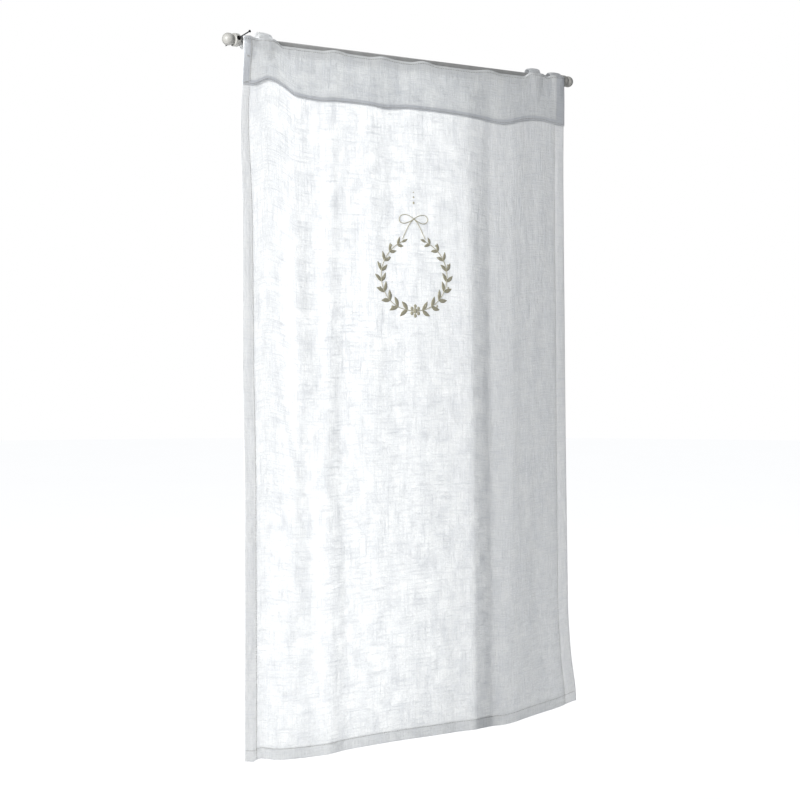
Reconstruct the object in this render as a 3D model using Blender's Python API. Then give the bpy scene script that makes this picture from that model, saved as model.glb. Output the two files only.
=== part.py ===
"""Cafe curtain of plain linen, hung on a painted round rod by four short loops.

Units are metres. X runs along the rod, left to right as seen from the room.
Y runs from the room into the window frame. Z is up.
The origin is on the rod's axis, behind the middle of the cloth.
"""

from bisect import bisect
from collections import namedtuple
from math import atan2, cos, pi, radians, sin

import bmesh
import bpy
from mathutils import Matrix, Vector

# Clearance between pieces that touch on the real curtain
GAP = 0.00035

# Rod and its turned ends
ROD_RADIUS = 0.006
ROD_SIDES = 24
BALL_RADIUS = 0.0089
BALL_STEPS = 9
NECK_RADIUS = 0.0066
COLLAR_RADIUS = 0.0094
COLLAR_LENGTH = 0.0088
COLLAR_ROUNDING = 0.0016
BALL_TO_COLLAR = 0.0074
LEFT_COLLAR_CLEAR = 0.0035
RIGHT_COLLAR_CLEAR = 0.0020

# Nail through the left collar
NAIL_RADIUS = 0.0010
NAIL_HEAD_RADIUS = 0.0021
NAIL_HEAD_THICKNESS = 0.0009
NAIL_OUT = 0.0362
NAIL_IN = 0.0230
NAIL_POINT = 0.0040
NAIL_TILT = radians(11.5)
NAIL_SIDES = 12

# Cloth
CLOTH_WIDTH = 0.615
CLOTH_DROP = 1.012
TOP_HEIGHT = -0.005
CLOTH_THICKNESS = 0.0012
HEM_THICKNESS = 0.0018
SIDE_HEM = 0.022
BOTTOM_HEM = 0.017
TOP_TURNING = 0.034
HEM_STEP = 0.0010
COLUMN_STEP = 0.0150
ROW_STEP = 0.0480

# Heading band and loops
HEADING_DEPTH = 0.069
HEADING_THICKNESS = 0.0010
HEADING_STAND_OFF = 0.0005
HEADING_ROW = 0.018
TAB_THICKNESS = 0.0010
TAB_FOOT = -0.0240
TAB_ARCH_STEPS = 12
TAB_COLUMNS = 3

# Where the layers lie in front of the rod's axis
TAB_MIDDLE = ROD_RADIUS + GAP + TAB_THICKNESS / 2
CLOTH_BACK = ROD_RADIUS + TAB_THICKNESS + 2 * GAP
CLOTH_FRONT = CLOTH_BACK + HEM_THICKNESS
HEADING_OUT = GAP + HEADING_THICKNESS / 2

# Soft folds that run down the cloth. A fold's middle moves from one station to the
# other, and its depth out of the wall is given below the rod, at mid drop and at the hem.
Fold = namedtuple("Fold", "name top_station hem_station half_width top middle hem")
FOLDS = [
    Fold("belly", 0.300, 0.300, 0.300, 0.0000, 0.0080, 0.0170),
    Fold("left valley", 0.024, 0.027, 0.030, 0.0000, -0.0030, -0.0070),
    Fold("left roll", 0.066, 0.076, 0.052, 0.0000, 0.0045, 0.0080),
    Fold("upper left crease", 0.088, 0.084, 0.024, 0.0006, 0.0030, 0.0000),
    Fold("slanted crease", 0.040, 0.178, 0.034, 0.0000, 0.0030, 0.0020),
    Fold("long crease", 0.148, 0.136, 0.022, 0.0004, 0.0024, 0.0022),
    Fold("low crease", 0.186, 0.182, 0.020, 0.0000, 0.0010, 0.0026),
    Fold("high crease", 0.218, 0.222, 0.022, 0.0014, 0.0014, 0.0000),
    Fold("heading dip", 0.268, 0.262, 0.040, -0.0012, -0.0008, 0.0000),
    Fold("middle swell", 0.350, 0.360, 0.060, 0.0012, 0.0010, 0.0010),
    Fold("right ridge", 0.418, 0.424, 0.046, 0.0010, 0.0050, 0.0060),
    Fold("right valley", 0.470, 0.478, 0.044, -0.0014, -0.0040, -0.0050),
    Fold("right roll", 0.540, 0.545, 0.050, 0.0000, 0.0025, 0.0035),
    Fold("turned right edge", 0.615, 0.612, 0.044, 0.0000, -0.0060, 0.0050),
]

# How far the cloth stands above its plain hanging height, at stations along its width
Lift = namedtuple("Lift", "station top seam hem")
LIFTS = [
    Lift(0.000, 0.0105, 0.0124, 0.0106),
    Lift(0.016, 0.0105, 0.0118, 0.0086),
    Lift(0.021, 0.0070, 0.0130, 0.0106),
    Lift(0.026, 0.0105, 0.0160, 0.0120),
    Lift(0.039, 0.0105, 0.0212, 0.0098),
    Lift(0.050, 0.0105, 0.0190, 0.0078),
    Lift(0.064, 0.0004, 0.0130, 0.0058),
    Lift(0.087, 0.0000, 0.0012, 0.0042),
    Lift(0.131, 0.0000, -0.0018, 0.0030),
    Lift(0.157, 0.0075, 0.0000, 0.0042),
    Lift(0.183, 0.0000, 0.0004, 0.0056),
    Lift(0.218, 0.0000, -0.0004, 0.0060),
    Lift(0.244, 0.0065, -0.0026, 0.0060),
    Lift(0.270, 0.0000, -0.0010, 0.0058),
    Lift(0.294, 0.0000, 0.0008, 0.0056),
    Lift(0.322, 0.0080, 0.0006, 0.0048),
    Lift(0.350, 0.0000, 0.0002, 0.0042),
    Lift(0.417, 0.0000, -0.0026, 0.0024),
    Lift(0.455, 0.0070, -0.0058, 0.0012),
    Lift(0.480, 0.0000, -0.0072, -0.0010),
    Lift(0.528, 0.0006, 0.0024, 0.0040),
    Lift(0.543, 0.0105, 0.0042, 0.0060),
    Lift(0.567, 0.0105, 0.0046, 0.0088),
    Lift(0.578, 0.0070, 0.0034, 0.0104),
    Lift(0.589, 0.0105, 0.0018, 0.0124),
    Lift(0.615, 0.0105, -0.0004, 0.0175),
]

# Sideways swing of the two side edges at distances down the cloth, right is positive
Swing = namedtuple("Swing", "drop left right")
SWINGS = [
    Swing(0.000, -0.0010, 0.0000),
    Swing(0.130, -0.0072, 0.0000),
    Swing(0.240, -0.0040, 0.0016),
    Swing(0.450, -0.0036, 0.0056),
    Swing(0.650, 0.0005, 0.0074),
    Swing(0.850, 0.0005, 0.0096),
    Swing(0.930, 0.0005, 0.0158),
    Swing(1.012, 0.0005, 0.0276),
]
LEFT_SWING_REACH = 0.070
RIGHT_SWING_REACH = 0.240

# Loops over the rod, with the height of their two top corners and of the arch's feet
Tab = namedtuple("Tab", "name start end left_crown right_crown arch_foot")
TABS = [
    Tab("tab_corner_left", 0.0010, 0.0155, 0.0078, 0.0090, 0.0000),
    Tab("tab_inner_left", 0.0262, 0.0500, 0.0160, 0.0142, 0.0030),
    Tab("tab_inner_right", 0.5430, 0.5670, 0.0138, 0.0152, 0.0030),
    Tab("tab_corner_right", 0.5890, 0.6140, 0.0118, 0.0126, 0.0020),
]

# Side view of a loop's back leg, from behind the rod down to the back of the front leg.
# The share is 1 behind the rod and 0 against the front leg.
BackLeg = namedtuple("BackLeg", "share height")
BACK_LEG = [
    BackLeg(1.000, -0.0030),
    BackLeg(0.870, -0.0072),
    BackLeg(0.570, -0.0110),
    BackLeg(0.240, -0.0142),
    BackLeg(0.050, -0.0170),
    BackLeg(0.000, -0.0200),
    BackLeg(0.000, TAB_FOOT),
]

LINEN = ("linen", (0.90, 0.90, 0.88), 0.85, 0.0)
PAINT = ("white_paint", (0.80, 0.79, 0.75), 0.45, 0.0)
STEEL = ("dark_steel", (0.05, 0.05, 0.05), 0.40, 1.0)


def clear_scene():
    """Take away whatever the file opened with."""
    for thing in list(bpy.data.objects):
        bpy.data.objects.remove(thing, do_unlink=True)


def material(finish):
    """One material of its own for each piece, in the piece's finish."""
    name, colour, roughness, metallic = finish
    made = bpy.data.materials.new(name)
    made.use_nodes = True
    surface = made.node_tree.nodes["Principled BSDF"]
    surface.inputs["Base Color"].default_value = (*colour, 1.0)
    surface.inputs["Roughness"].default_value = roughness
    surface.inputs["Metallic"].default_value = metallic
    return made


def add_object(name, shape, finish):
    """Turn a bmesh into a named object with smooth shading."""
    bmesh.ops.recalc_face_normals(shape, faces=shape.faces)
    mesh = bpy.data.meshes.new(name)
    shape.to_mesh(mesh)
    shape.free()
    mesh.shade_smooth()
    mesh.set_sharp_from_angle(angle=radians(35))
    thing = bpy.data.objects.new(name, mesh)
    thing.data.materials.append(material(finish))
    bpy.context.scene.collection.objects.link(thing)
    return thing


def curve_through(knots, values, where):
    """Smooth curve through the knots, which never passes beyond its neighbours."""
    last = len(knots) - 1
    i = min(max(bisect(knots, where) - 1, 0), last - 1)
    rises = [(values[k + 1] - values[k]) / (knots[k + 1] - knots[k]) for k in range(last)]

    def slope(k):
        if k in (0, last):
            return 0.0
        before, after = rises[k - 1], rises[k]
        return 0.0 if before * after <= 0 else 2 * before * after / (before + after)

    span = knots[i + 1] - knots[i]
    t = min(max((where - knots[i]) / span, 0.0), 1.0)
    start = (1 + 2 * t) * (1 - t) ** 2 * values[i] + t * (1 - t) ** 2 * span * slope(i)
    end = t * t * (3 - 2 * t) * values[i + 1] - t * t * (1 - t) * span * slope(i + 1)
    return start + end


def swell(distance, half_width):
    """A soft ridge: 1 at its middle, 0 from its half width on."""
    if abs(distance) >= half_width:
        return 0.0
    return 0.5 * (1 + cos(pi * distance / half_width))


def fold_depth(station, drop):
    """How far the folds bring the cloth out of its hanging plane."""
    total = 0.0
    for fold in FOLDS:
        along = drop / CLOTH_DROP
        middle = fold.top_station + along * (fold.hem_station - fold.top_station)
        depth = curve_through(
            [0.0, TOP_TURNING, 0.45, CLOTH_DROP],
            [0.0, fold.top, fold.middle, fold.hem],
            drop,
        )
        total += depth * swell(station - middle, fold.half_width)
    return total


def cloth_lift(station, drop):
    """Height above the plain hanging height, from the table of lifts."""
    stations = [row.station for row in LIFTS]
    levels = [
        curve_through(stations, [getattr(row, line) for row in LIFTS], station)
        for line in ("top", "seam", "hem")
    ]
    return curve_through([0.0, HEADING_DEPTH, CLOTH_DROP], levels, drop)


def side_swing(station, drop):
    """Sideways shift, full at the side edges and fading inwards."""
    drops = [row.drop for row in SWINGS]
    left = curve_through(drops, [row.left for row in SWINGS], drop)
    right = curve_through(drops, [row.right for row in SWINGS], drop)
    near_left = max(0.0, 1 - station / LEFT_SWING_REACH)
    near_right = max(0.0, 1 - (CLOTH_WIDTH - station) / RIGHT_SWING_REACH)
    return left * near_left**2 + right * near_right**2


def cloth_point(station, drop):
    """A point of the cloth's front face, by its place in the flat cloth."""
    return Vector(
        (
            station - CLOTH_WIDTH / 2 + side_swing(station, drop),
            -CLOTH_FRONT - fold_depth(station, drop),
            TOP_HEIGHT - drop + cloth_lift(station, drop),
        )
    )


def cloth_normal(station, drop, reach=0.002):
    """Direction out of the front face."""
    across = cloth_point(station + reach, drop) - cloth_point(station - reach, drop)
    down = cloth_point(station, drop + reach) - cloth_point(station, drop - reach)
    return down.cross(across).normalized()


def filled(marks, step):
    """The marks, with even steps no longer than step between them."""
    places = [marks[0]]
    for start, end in zip(marks, marks[1:]):
        parts = max(1, round((end - start) / step + 0.35))
        places += [start + (end - start) * k / parts for k in range(1, parts + 1)]
    return places


def column_places():
    """Grid lines down the cloth: at hems, loops and lifts, with steps between."""
    marks = [0.0, SIDE_HEM - HEM_STEP, SIDE_HEM]
    marks += [CLOTH_WIDTH - SIDE_HEM, CLOTH_WIDTH - SIDE_HEM + HEM_STEP, CLOTH_WIDTH]
    marks += [row.station for row in LIFTS[1:-1]]
    marks.sort()
    kept = [marks[0]]
    for mark in marks[1:]:
        if mark - kept[-1] > HEM_STEP * 0.9:
            kept.append(mark)
    return filled(kept, COLUMN_STEP)


def upper_rows():
    """Grid lines across the cloth from the top edge to the heading's seam."""
    return filled([0.0, TOP_TURNING, TOP_TURNING + HEM_STEP, HEADING_DEPTH], HEADING_ROW)


def row_places():
    """Grid lines across the whole cloth, also on both sides of the bottom hem's step."""
    hem_top = CLOTH_DROP - BOTTOM_HEM
    lower = filled([HEADING_DEPTH, hem_top - HEM_STEP], ROW_STEP)
    return upper_rows() + lower[1:] + [hem_top, CLOTH_DROP]


def woven_grid(columns, rows, place):
    """A grid of faces placed by station and drop, and each point's place in the flat."""
    shape = bmesh.new()
    bmesh.ops.create_grid(
        shape, x_segments=len(columns) - 1, y_segments=len(rows) - 1, size=0.5
    )
    flat = []
    for point in shape.verts:
        i = round((point.co.x + 0.5) * (len(columns) - 1))
        j = round((0.5 - point.co.y) * (len(rows) - 1))
        flat.append((columns[i], rows[j]))
        point.co = place(columns[i], rows[j])
    return shape, flat


def in_a_hem(station, drop):
    """True where the cloth is turned over on itself."""
    beside = min(station, CLOTH_WIDTH - station) < SIDE_HEM - HEM_STEP / 2
    low = drop > CLOTH_DROP - BOTTOM_HEM - HEM_STEP / 2
    return beside or low or drop < TOP_TURNING + HEM_STEP / 2


def make_panel():
    """The one-piece cloth, thicker where it is hemmed."""
    shape, flat = woven_grid(column_places(), row_places(), cloth_point)
    hemmed = [k for k, (station, drop) in enumerate(flat) if in_a_hem(station, drop)]
    panel = add_object("panel", shape, LINEN)
    face_the_room(panel)
    hems = panel.vertex_groups.new(name="hems")
    hems.add(hemmed, 1.0, "REPLACE")
    wall = panel.modifiers.new("cloth thickness", "SOLIDIFY")
    wall.thickness = HEM_THICKNESS
    wall.offset = -1.0
    wall.vertex_group = "hems"
    wall.thickness_vertex_group = CLOTH_THICKNESS / HEM_THICKNESS
    return panel


def face_the_room(thing):
    """Turn an open sheet's faces towards the room, so its thickness grows behind."""
    mesh = thing.data
    if sum(face.normal.y * face.area for face in mesh.polygons) > 0:
        mesh.flip_normals()


def heading_point(station, drop):
    """The heading band lies on the cloth and stands off a little at its lower edge."""
    low = max(0.0, (drop - HEADING_DEPTH / 2) / (HEADING_DEPTH / 2))
    off = HEADING_OUT + HEADING_STAND_OFF * low**2
    station = min(max(station, 0.0), CLOTH_WIDTH)
    return cloth_point(station, drop) + cloth_normal(station, drop) * off


def make_heading():
    """The deep band along the top, sewn on over the front of the cloth."""
    shape, _ = woven_grid(column_places(), upper_rows(), heading_point)
    heading = add_object("heading", shape, LINEN)
    wall = heading.modifiers.new("band thickness", "SOLIDIFY")
    wall.thickness = HEADING_THICKNESS
    wall.offset = 0.0
    return heading


def tab_path(crown, arch_foot):
    """Side view of a loop, from its front foot over the rod to its back foot."""
    front = -TAB_MIDDLE
    beside = front + TAB_THICKNESS + GAP
    path = [(front, TAB_FOOT), (front, TAB_FOOT / 2), (front, arch_foot - ROD_RADIUS / 2)]
    for k in range(TAB_ARCH_STEPS + 1):
        turn = pi * k / TAB_ARCH_STEPS
        path.append((-TAB_MIDDLE * cos(turn), arch_foot + (crown - arch_foot) * sin(turn)))
    for row in BACK_LEG:
        path.append((beside + row.share * (TAB_MIDDLE - beside), row.height))
    return path


def make_tab(tab):
    """A loop of doubled cloth, sewn behind the panel and passing over the rod."""
    shares = [k / TAB_COLUMNS for k in range(TAB_COLUMNS + 1)]
    crowns = [tab.left_crown + (tab.right_crown - tab.left_crown) * share for share in shares]
    sides = [tab_path(crown - TAB_THICKNESS / 2, tab.arch_foot) for crown in crowns]
    stations = [tab.start + (tab.end - tab.start) * share for share in shares]
    steps = range(len(sides[0]))

    def place(column, row):
        y, z = sides[column][row]
        return Vector((stations[column] - CLOTH_WIDTH / 2, y, z))

    shape, _ = woven_grid(range(TAB_COLUMNS + 1), steps, place)
    loop = add_object(tab.name, shape, LINEN)
    wall = loop.modifiers.new("loop thickness", "SOLIDIFY")
    wall.thickness = TAB_THICKNESS
    wall.offset = 0.0
    wall.use_even_offset = True
    return loop


def turned(name, outline, finish):
    """Spin an outline of (along, radius) points round the X axis."""
    shape = bmesh.new()
    ring = [shape.verts.new((along, 0.0, radius)) for along, radius in outline]
    edges = [shape.edges.new(pair) for pair in zip(ring, ring[1:])]
    bmesh.ops.spin(
        shape,
        geom=ring + edges,
        cent=(0.0, 0.0, 0.0),
        axis=(1.0, 0.0, 0.0),
        angle=2 * pi,
        steps=ROD_SIDES,
        use_merge=True,
    )
    bmesh.ops.remove_doubles(shape, verts=shape.verts, dist=1e-6)
    return add_object(name, shape, finish)


def rounded_corner(along, radius, rounding, first, last, steps=3):
    """Points of a quarter round between two angles."""
    return [
        (
            along + rounding * cos(first + (last - first) * k / steps),
            radius + rounding * sin(first + (last - first) * k / steps),
        )
        for k in range(steps + 1)
    ]


def finial_outline():
    """Half section of a ball end and its collar, from the ball's tip to the rod."""
    neck_angle = atan2(NECK_RADIUS, BALL_TO_COLLAR - COLLAR_ROUNDING)
    turns = [(pi - neck_angle) * k / BALL_STEPS for k in range(BALL_STEPS + 1)]
    ball = [(-BALL_RADIUS * cos(turn), BALL_RADIUS * sin(turn)) for turn in turns]
    ball[0] = (-BALL_RADIUS, 0.0)
    shoulder = COLLAR_RADIUS - COLLAR_ROUNDING
    near = BALL_TO_COLLAR + COLLAR_ROUNDING
    far = BALL_TO_COLLAR + COLLAR_LENGTH - COLLAR_ROUNDING
    collar = rounded_corner(near, shoulder, COLLAR_ROUNDING, pi, pi / 2)
    collar += rounded_corner(far, shoulder, COLLAR_ROUNDING, pi / 2, 0.0)
    return ball + [(BALL_TO_COLLAR, NECK_RADIUS)] + collar + [(far + COLLAR_ROUNDING, 0.0)]


def make_finial(name, collar_end, outwards):
    """A ball end whose collar faces the rod at collar_end."""
    finial = turned(name, finial_outline(), PAINT)
    length = BALL_TO_COLLAR + COLLAR_LENGTH
    place = Matrix.Translation((collar_end + outwards * length, 0.0, 0.0))
    if outwards > 0:
        place @= Matrix.Rotation(pi, 4, "Z")
    finial.matrix_world = place
    return finial


def make_rod(left, right):
    """The straight rod between the two collars."""
    outline = [(left, 0.0), (left, ROD_RADIUS), (right, ROD_RADIUS), (right, 0.0)]
    return turned("rod", outline, PAINT)


def nail_matrix(along):
    """Nail axis: local Z points out of the wall and up."""
    return Matrix.Translation((along, 0.0, 0.0)) @ Matrix.Rotation(pi / 2 - NAIL_TILT, 4, "X")


def make_nail(along):
    """A round wire nail, its head in the room and its point in the frame."""
    shape = bmesh.new()
    bmesh.ops.create_cone(
        shape,
        cap_ends=True,
        segments=NAIL_SIDES,
        radius1=NAIL_RADIUS,
        radius2=NAIL_RADIUS,
        depth=NAIL_OUT + NAIL_IN,
        matrix=Matrix.Translation((0.0, 0.0, (NAIL_OUT - NAIL_IN) / 2)),
    )
    top = [face for face in shape.faces if face.normal.z > 0.9]
    bottom = [face for face in shape.faces if face.normal.z < -0.9]
    grow_end(shape, top, NAIL_HEAD_RADIUS / NAIL_RADIUS, 0.0)
    grow_end(shape, top, 1.0, NAIL_HEAD_THICKNESS)
    grow_end(shape, bottom, 0.18, -NAIL_POINT)
    nail = add_object("nail", shape, STEEL)
    nail.matrix_world = nail_matrix(along)
    return nail


def grow_end(shape, end, spread, distance):
    """Extrude an end face along Z and spread its rim."""
    made = bmesh.ops.extrude_face_region(shape, geom=end)
    bmesh.ops.delete(shape, geom=end, context="FACES_ONLY")
    fresh = [part for part in made["geom"] if isinstance(part, bmesh.types.BMFace)]
    rim = [part for part in made["geom"] if isinstance(part, bmesh.types.BMVert)]
    bmesh.ops.scale(shape, vec=(spread, spread, 1.0), verts=rim)
    bmesh.ops.translate(shape, vec=(0.0, 0.0, distance), verts=rim)
    end[:] = fresh


def drill_for_nail(finial, along):
    """Cut the nail's hole through the collar."""
    shape = bmesh.new()
    bmesh.ops.create_cone(
        shape,
        cap_ends=True,
        segments=NAIL_SIDES,
        radius1=NAIL_RADIUS + GAP,
        radius2=NAIL_RADIUS + GAP,
        depth=COLLAR_RADIUS * 4,
    )
    cutter = add_object("nail hole", shape, STEEL)
    cutter.matrix_world = nail_matrix(along)
    cutter.hide_render = True
    cutter.display_type = "WIRE"
    cut = finial.modifiers.new("nail hole", "BOOLEAN")
    cut.operation = "DIFFERENCE"
    cut.solver = "EXACT"
    cut.object = cutter


def main():
    """Build every piece in its hanging place."""
    clear_scene()
    left_edge = -CLOTH_WIDTH / 2 + SWINGS[0].left
    right_edge = CLOTH_WIDTH / 2
    left_collar = left_edge - LEFT_COLLAR_CLEAR
    right_collar = right_edge + RIGHT_COLLAR_CLEAR
    make_rod(left_collar + GAP, right_collar - GAP)
    left_finial = make_finial("finial_left", left_collar, -1)
    make_finial("finial_right", right_collar, 1)
    nail_along = left_collar - COLLAR_LENGTH / 2
    make_nail(nail_along)
    drill_for_nail(left_finial, nail_along)
    make_panel()
    make_heading()
    for tab in TABS:
        make_tab(tab)


main()
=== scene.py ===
"""Looks of the cafe curtain: hemmed linen, loops, stitching, wreath, painted rod and nail.

Units are metres. X runs along the rod, left to right as seen from the front.
Y runs from front to back. Z is up, and the origin is on the rod's axis.
A place on the cloth is a station across its width and a drop down from its top edge.
"""

from collections import namedtuple
from math import atan2, cos, pi, radians, sin

import bmesh
import bpy
import numpy as np
from mathutils import Matrix, Vector, noise


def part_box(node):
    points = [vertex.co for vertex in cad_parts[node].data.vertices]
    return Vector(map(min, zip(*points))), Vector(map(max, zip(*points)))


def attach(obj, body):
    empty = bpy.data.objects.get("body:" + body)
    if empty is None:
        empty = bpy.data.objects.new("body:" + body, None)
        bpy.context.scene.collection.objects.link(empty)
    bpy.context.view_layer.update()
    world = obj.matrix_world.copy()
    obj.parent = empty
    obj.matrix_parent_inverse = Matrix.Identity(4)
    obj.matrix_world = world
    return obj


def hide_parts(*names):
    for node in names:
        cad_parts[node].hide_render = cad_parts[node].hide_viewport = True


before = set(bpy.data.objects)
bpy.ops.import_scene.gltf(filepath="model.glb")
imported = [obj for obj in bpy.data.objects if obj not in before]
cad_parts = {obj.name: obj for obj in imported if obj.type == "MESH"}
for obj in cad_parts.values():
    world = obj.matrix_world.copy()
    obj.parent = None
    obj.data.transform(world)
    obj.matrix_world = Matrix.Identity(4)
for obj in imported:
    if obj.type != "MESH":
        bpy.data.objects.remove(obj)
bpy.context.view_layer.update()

bl_info = {
    "name": "Cafe curtain",
    "version": (1, 0, 0),
    "blender": (4, 5, 0),
    "location": "3D View > Sidebar > Curtain",
    "description": "Dresses a hanging linen cafe curtain and its rod",
    "category": "Object",
}

BODY = "root"

# Rod and its ends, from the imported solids
ROD_RADIUS = (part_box("rod")[1].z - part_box("rod")[0].z) / 2
LEFT_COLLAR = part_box("finial_left")[1].x
RIGHT_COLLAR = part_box("finial_right")[0].x
NAIL_ALONG = (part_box("nail")[0].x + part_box("nail")[1].x) / 2
BALL_RADIUS = 0.0089
NECK_RADIUS = 0.0066
COLLAR_RADIUS = 0.0094
COLLAR_LENGTH = 0.0088
COLLAR_ROUNDING = 0.0016
BALL_TO_COLLAR = 0.0074
NAIL_RADIUS = 0.0009
NAIL_HOLE_RADIUS = 0.0033
NAIL_HEAD_RADIUS = 0.0019
NAIL_HEAD_THICKNESS = 0.0009
NAIL_OUT = 0.0362
NAIL_IN = 0.0230
NAIL_POINT = 0.0040
NAIL_TILT = radians(11.5)
NAIL_RIM_SHARE = 0.92
NAIL_CROWN_SHARE = 0.86
NAIL_TIP_SHARE = 0.18
NAIL_HEAD_STEPS = (0.0002, 0.00018, 0.00022)
ROD_UNEVENNESS = 0.00008
ROD_UNEVEN_LENGTH = 0.05
ROD_SECTIONS = 60
SHARP_ANGLE = radians(40)
WIRE_SHARP_ANGLE = radians(50)

# Cloth, hanging as its solid does
CLOTH_WIDTH = 0.615
CLOTH_DROP = 1.012
TOP_HEIGHT = -0.005
CLOTH_FRONT = 0.0095
SIDE_HEM = 0.022
BOTTOM_HEM = 0.017
TOP_TURNING = 0.014
HEADING_DEPTH = 0.069
HEADING_OUT = 0.00155
HEADING_STAND_OFF = 0.0005
HEADING_SIDE_HEM = 0.0215
HEADING_LOWER_HEM = 0.0065
HEADING_PITCH = 0.00042
HEADING_PUFF = 0.0006
HEM_BLEND = 0.030
HEM_EASE = 0.004
HEM_MARK = 0.002
HEM_LAST_STEP = 0.85
HEM_TURN_PITCHES = 1.8
HEM_ROW_SLACK = 0.0002
HEM_COLUMN_SLACK = 0.001
# Drops down the cloth, and the share of its width that the left side hem has there
LEFT_HEM_DROPS = (0.0, 0.10, 0.26, 0.60, CLOTH_DROP)
LEFT_HEM_SHARES = (0.55, 0.55, 0.77, 0.92, 1.0)
LEFT_SWING_REACH = 0.070
RIGHT_SWING_REACH = 0.240
TAB_MIDDLE = 0.00685
TAB_LAYER_GAP = 0.00135
TAB_FOOT = -0.0240
LOOP_CROWN_DIP = 0.0012
LOOP_SQUARENESS = 0.35
LOOP_FLATNESS = 0.8
LOOP_ROW = 0.0016
# Where the loops' feet press the cloth forward: how far, the soft sides of each place, the
# drops between which it fades out, and its narrowing by a share down to a drop
LOOP_PRESS = 0.0010
LOOP_PRESS_SIDES = (-0.0040, 0.0022)
LOOP_PRESS_FADE = (0.016, 0.046)
LOOP_PRESS_TAPER = 0.35
LOOP_PRESS_TAPER_DROP = 0.030

# Soft folds that run down the cloth: the fold's middle at the top and at the hem, its half
# width, and its depth towards the front below the rod, at mid drop and at the hem
Fold = namedtuple("Fold", "top_station hem_station half_width top middle hem")
FOLDS = {
    "belly": Fold(0.300, 0.300, 0.300, 0.0000, 0.0080, 0.0170),
    "left valley": Fold(0.024, 0.027, 0.030, 0.0000, 0.0002, -0.0006),
    "left roll": Fold(0.066, 0.076, 0.052, 0.0000, 0.0016, 0.0021),
    "upper left crease": Fold(0.088, 0.084, 0.024, 0.0004, 0.0014, 0.0000),
    "slanted crease": Fold(0.040, 0.178, 0.034, 0.0000, 0.0017, 0.0006),
    "long crease": Fold(0.148, 0.136, 0.024, 0.0004, 0.0014, 0.0004),
    "high crease": Fold(0.218, 0.222, 0.022, 0.0006, 0.0009, 0.0000),
    "heading dip": Fold(0.268, 0.262, 0.040, -0.0012, -0.0008, 0.0000),
}
FOLD_DROPS = (0.0, 0.034, 0.45, CLOTH_DROP)

# The crisper folds, as nearly straight slopes between these stations
Slope = namedtuple("Slope", "station top middle hem")
SLOPES = [
    Slope(0.000, 0.0000, 0.0000, 0.0000),
    Slope(0.060, 0.0000, 0.0000, 0.0002),
    Slope(0.144, 0.0000, 0.0003, 0.0011),
    Slope(0.168, 0.0000, -0.0010, -0.0026),
    Slope(0.325, 0.0004, 0.0002, 0.0002),
    Slope(0.372, 0.0008, 0.0014, 0.0016),
    Slope(0.411, 0.0010, 0.0058, 0.0066),
    Slope(0.456, -0.0014, -0.0048, -0.0056),
    Slope(0.500, 0.0000, -0.0010, -0.0012),
    Slope(0.563, 0.0000, -0.0014, -0.0006),
    Slope(0.585, 0.0000, -0.0018, 0.0004),
    Slope(0.615, 0.0000, -0.0024, 0.0008),
]
SLOPE_ROUNDING = 0.0045

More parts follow.
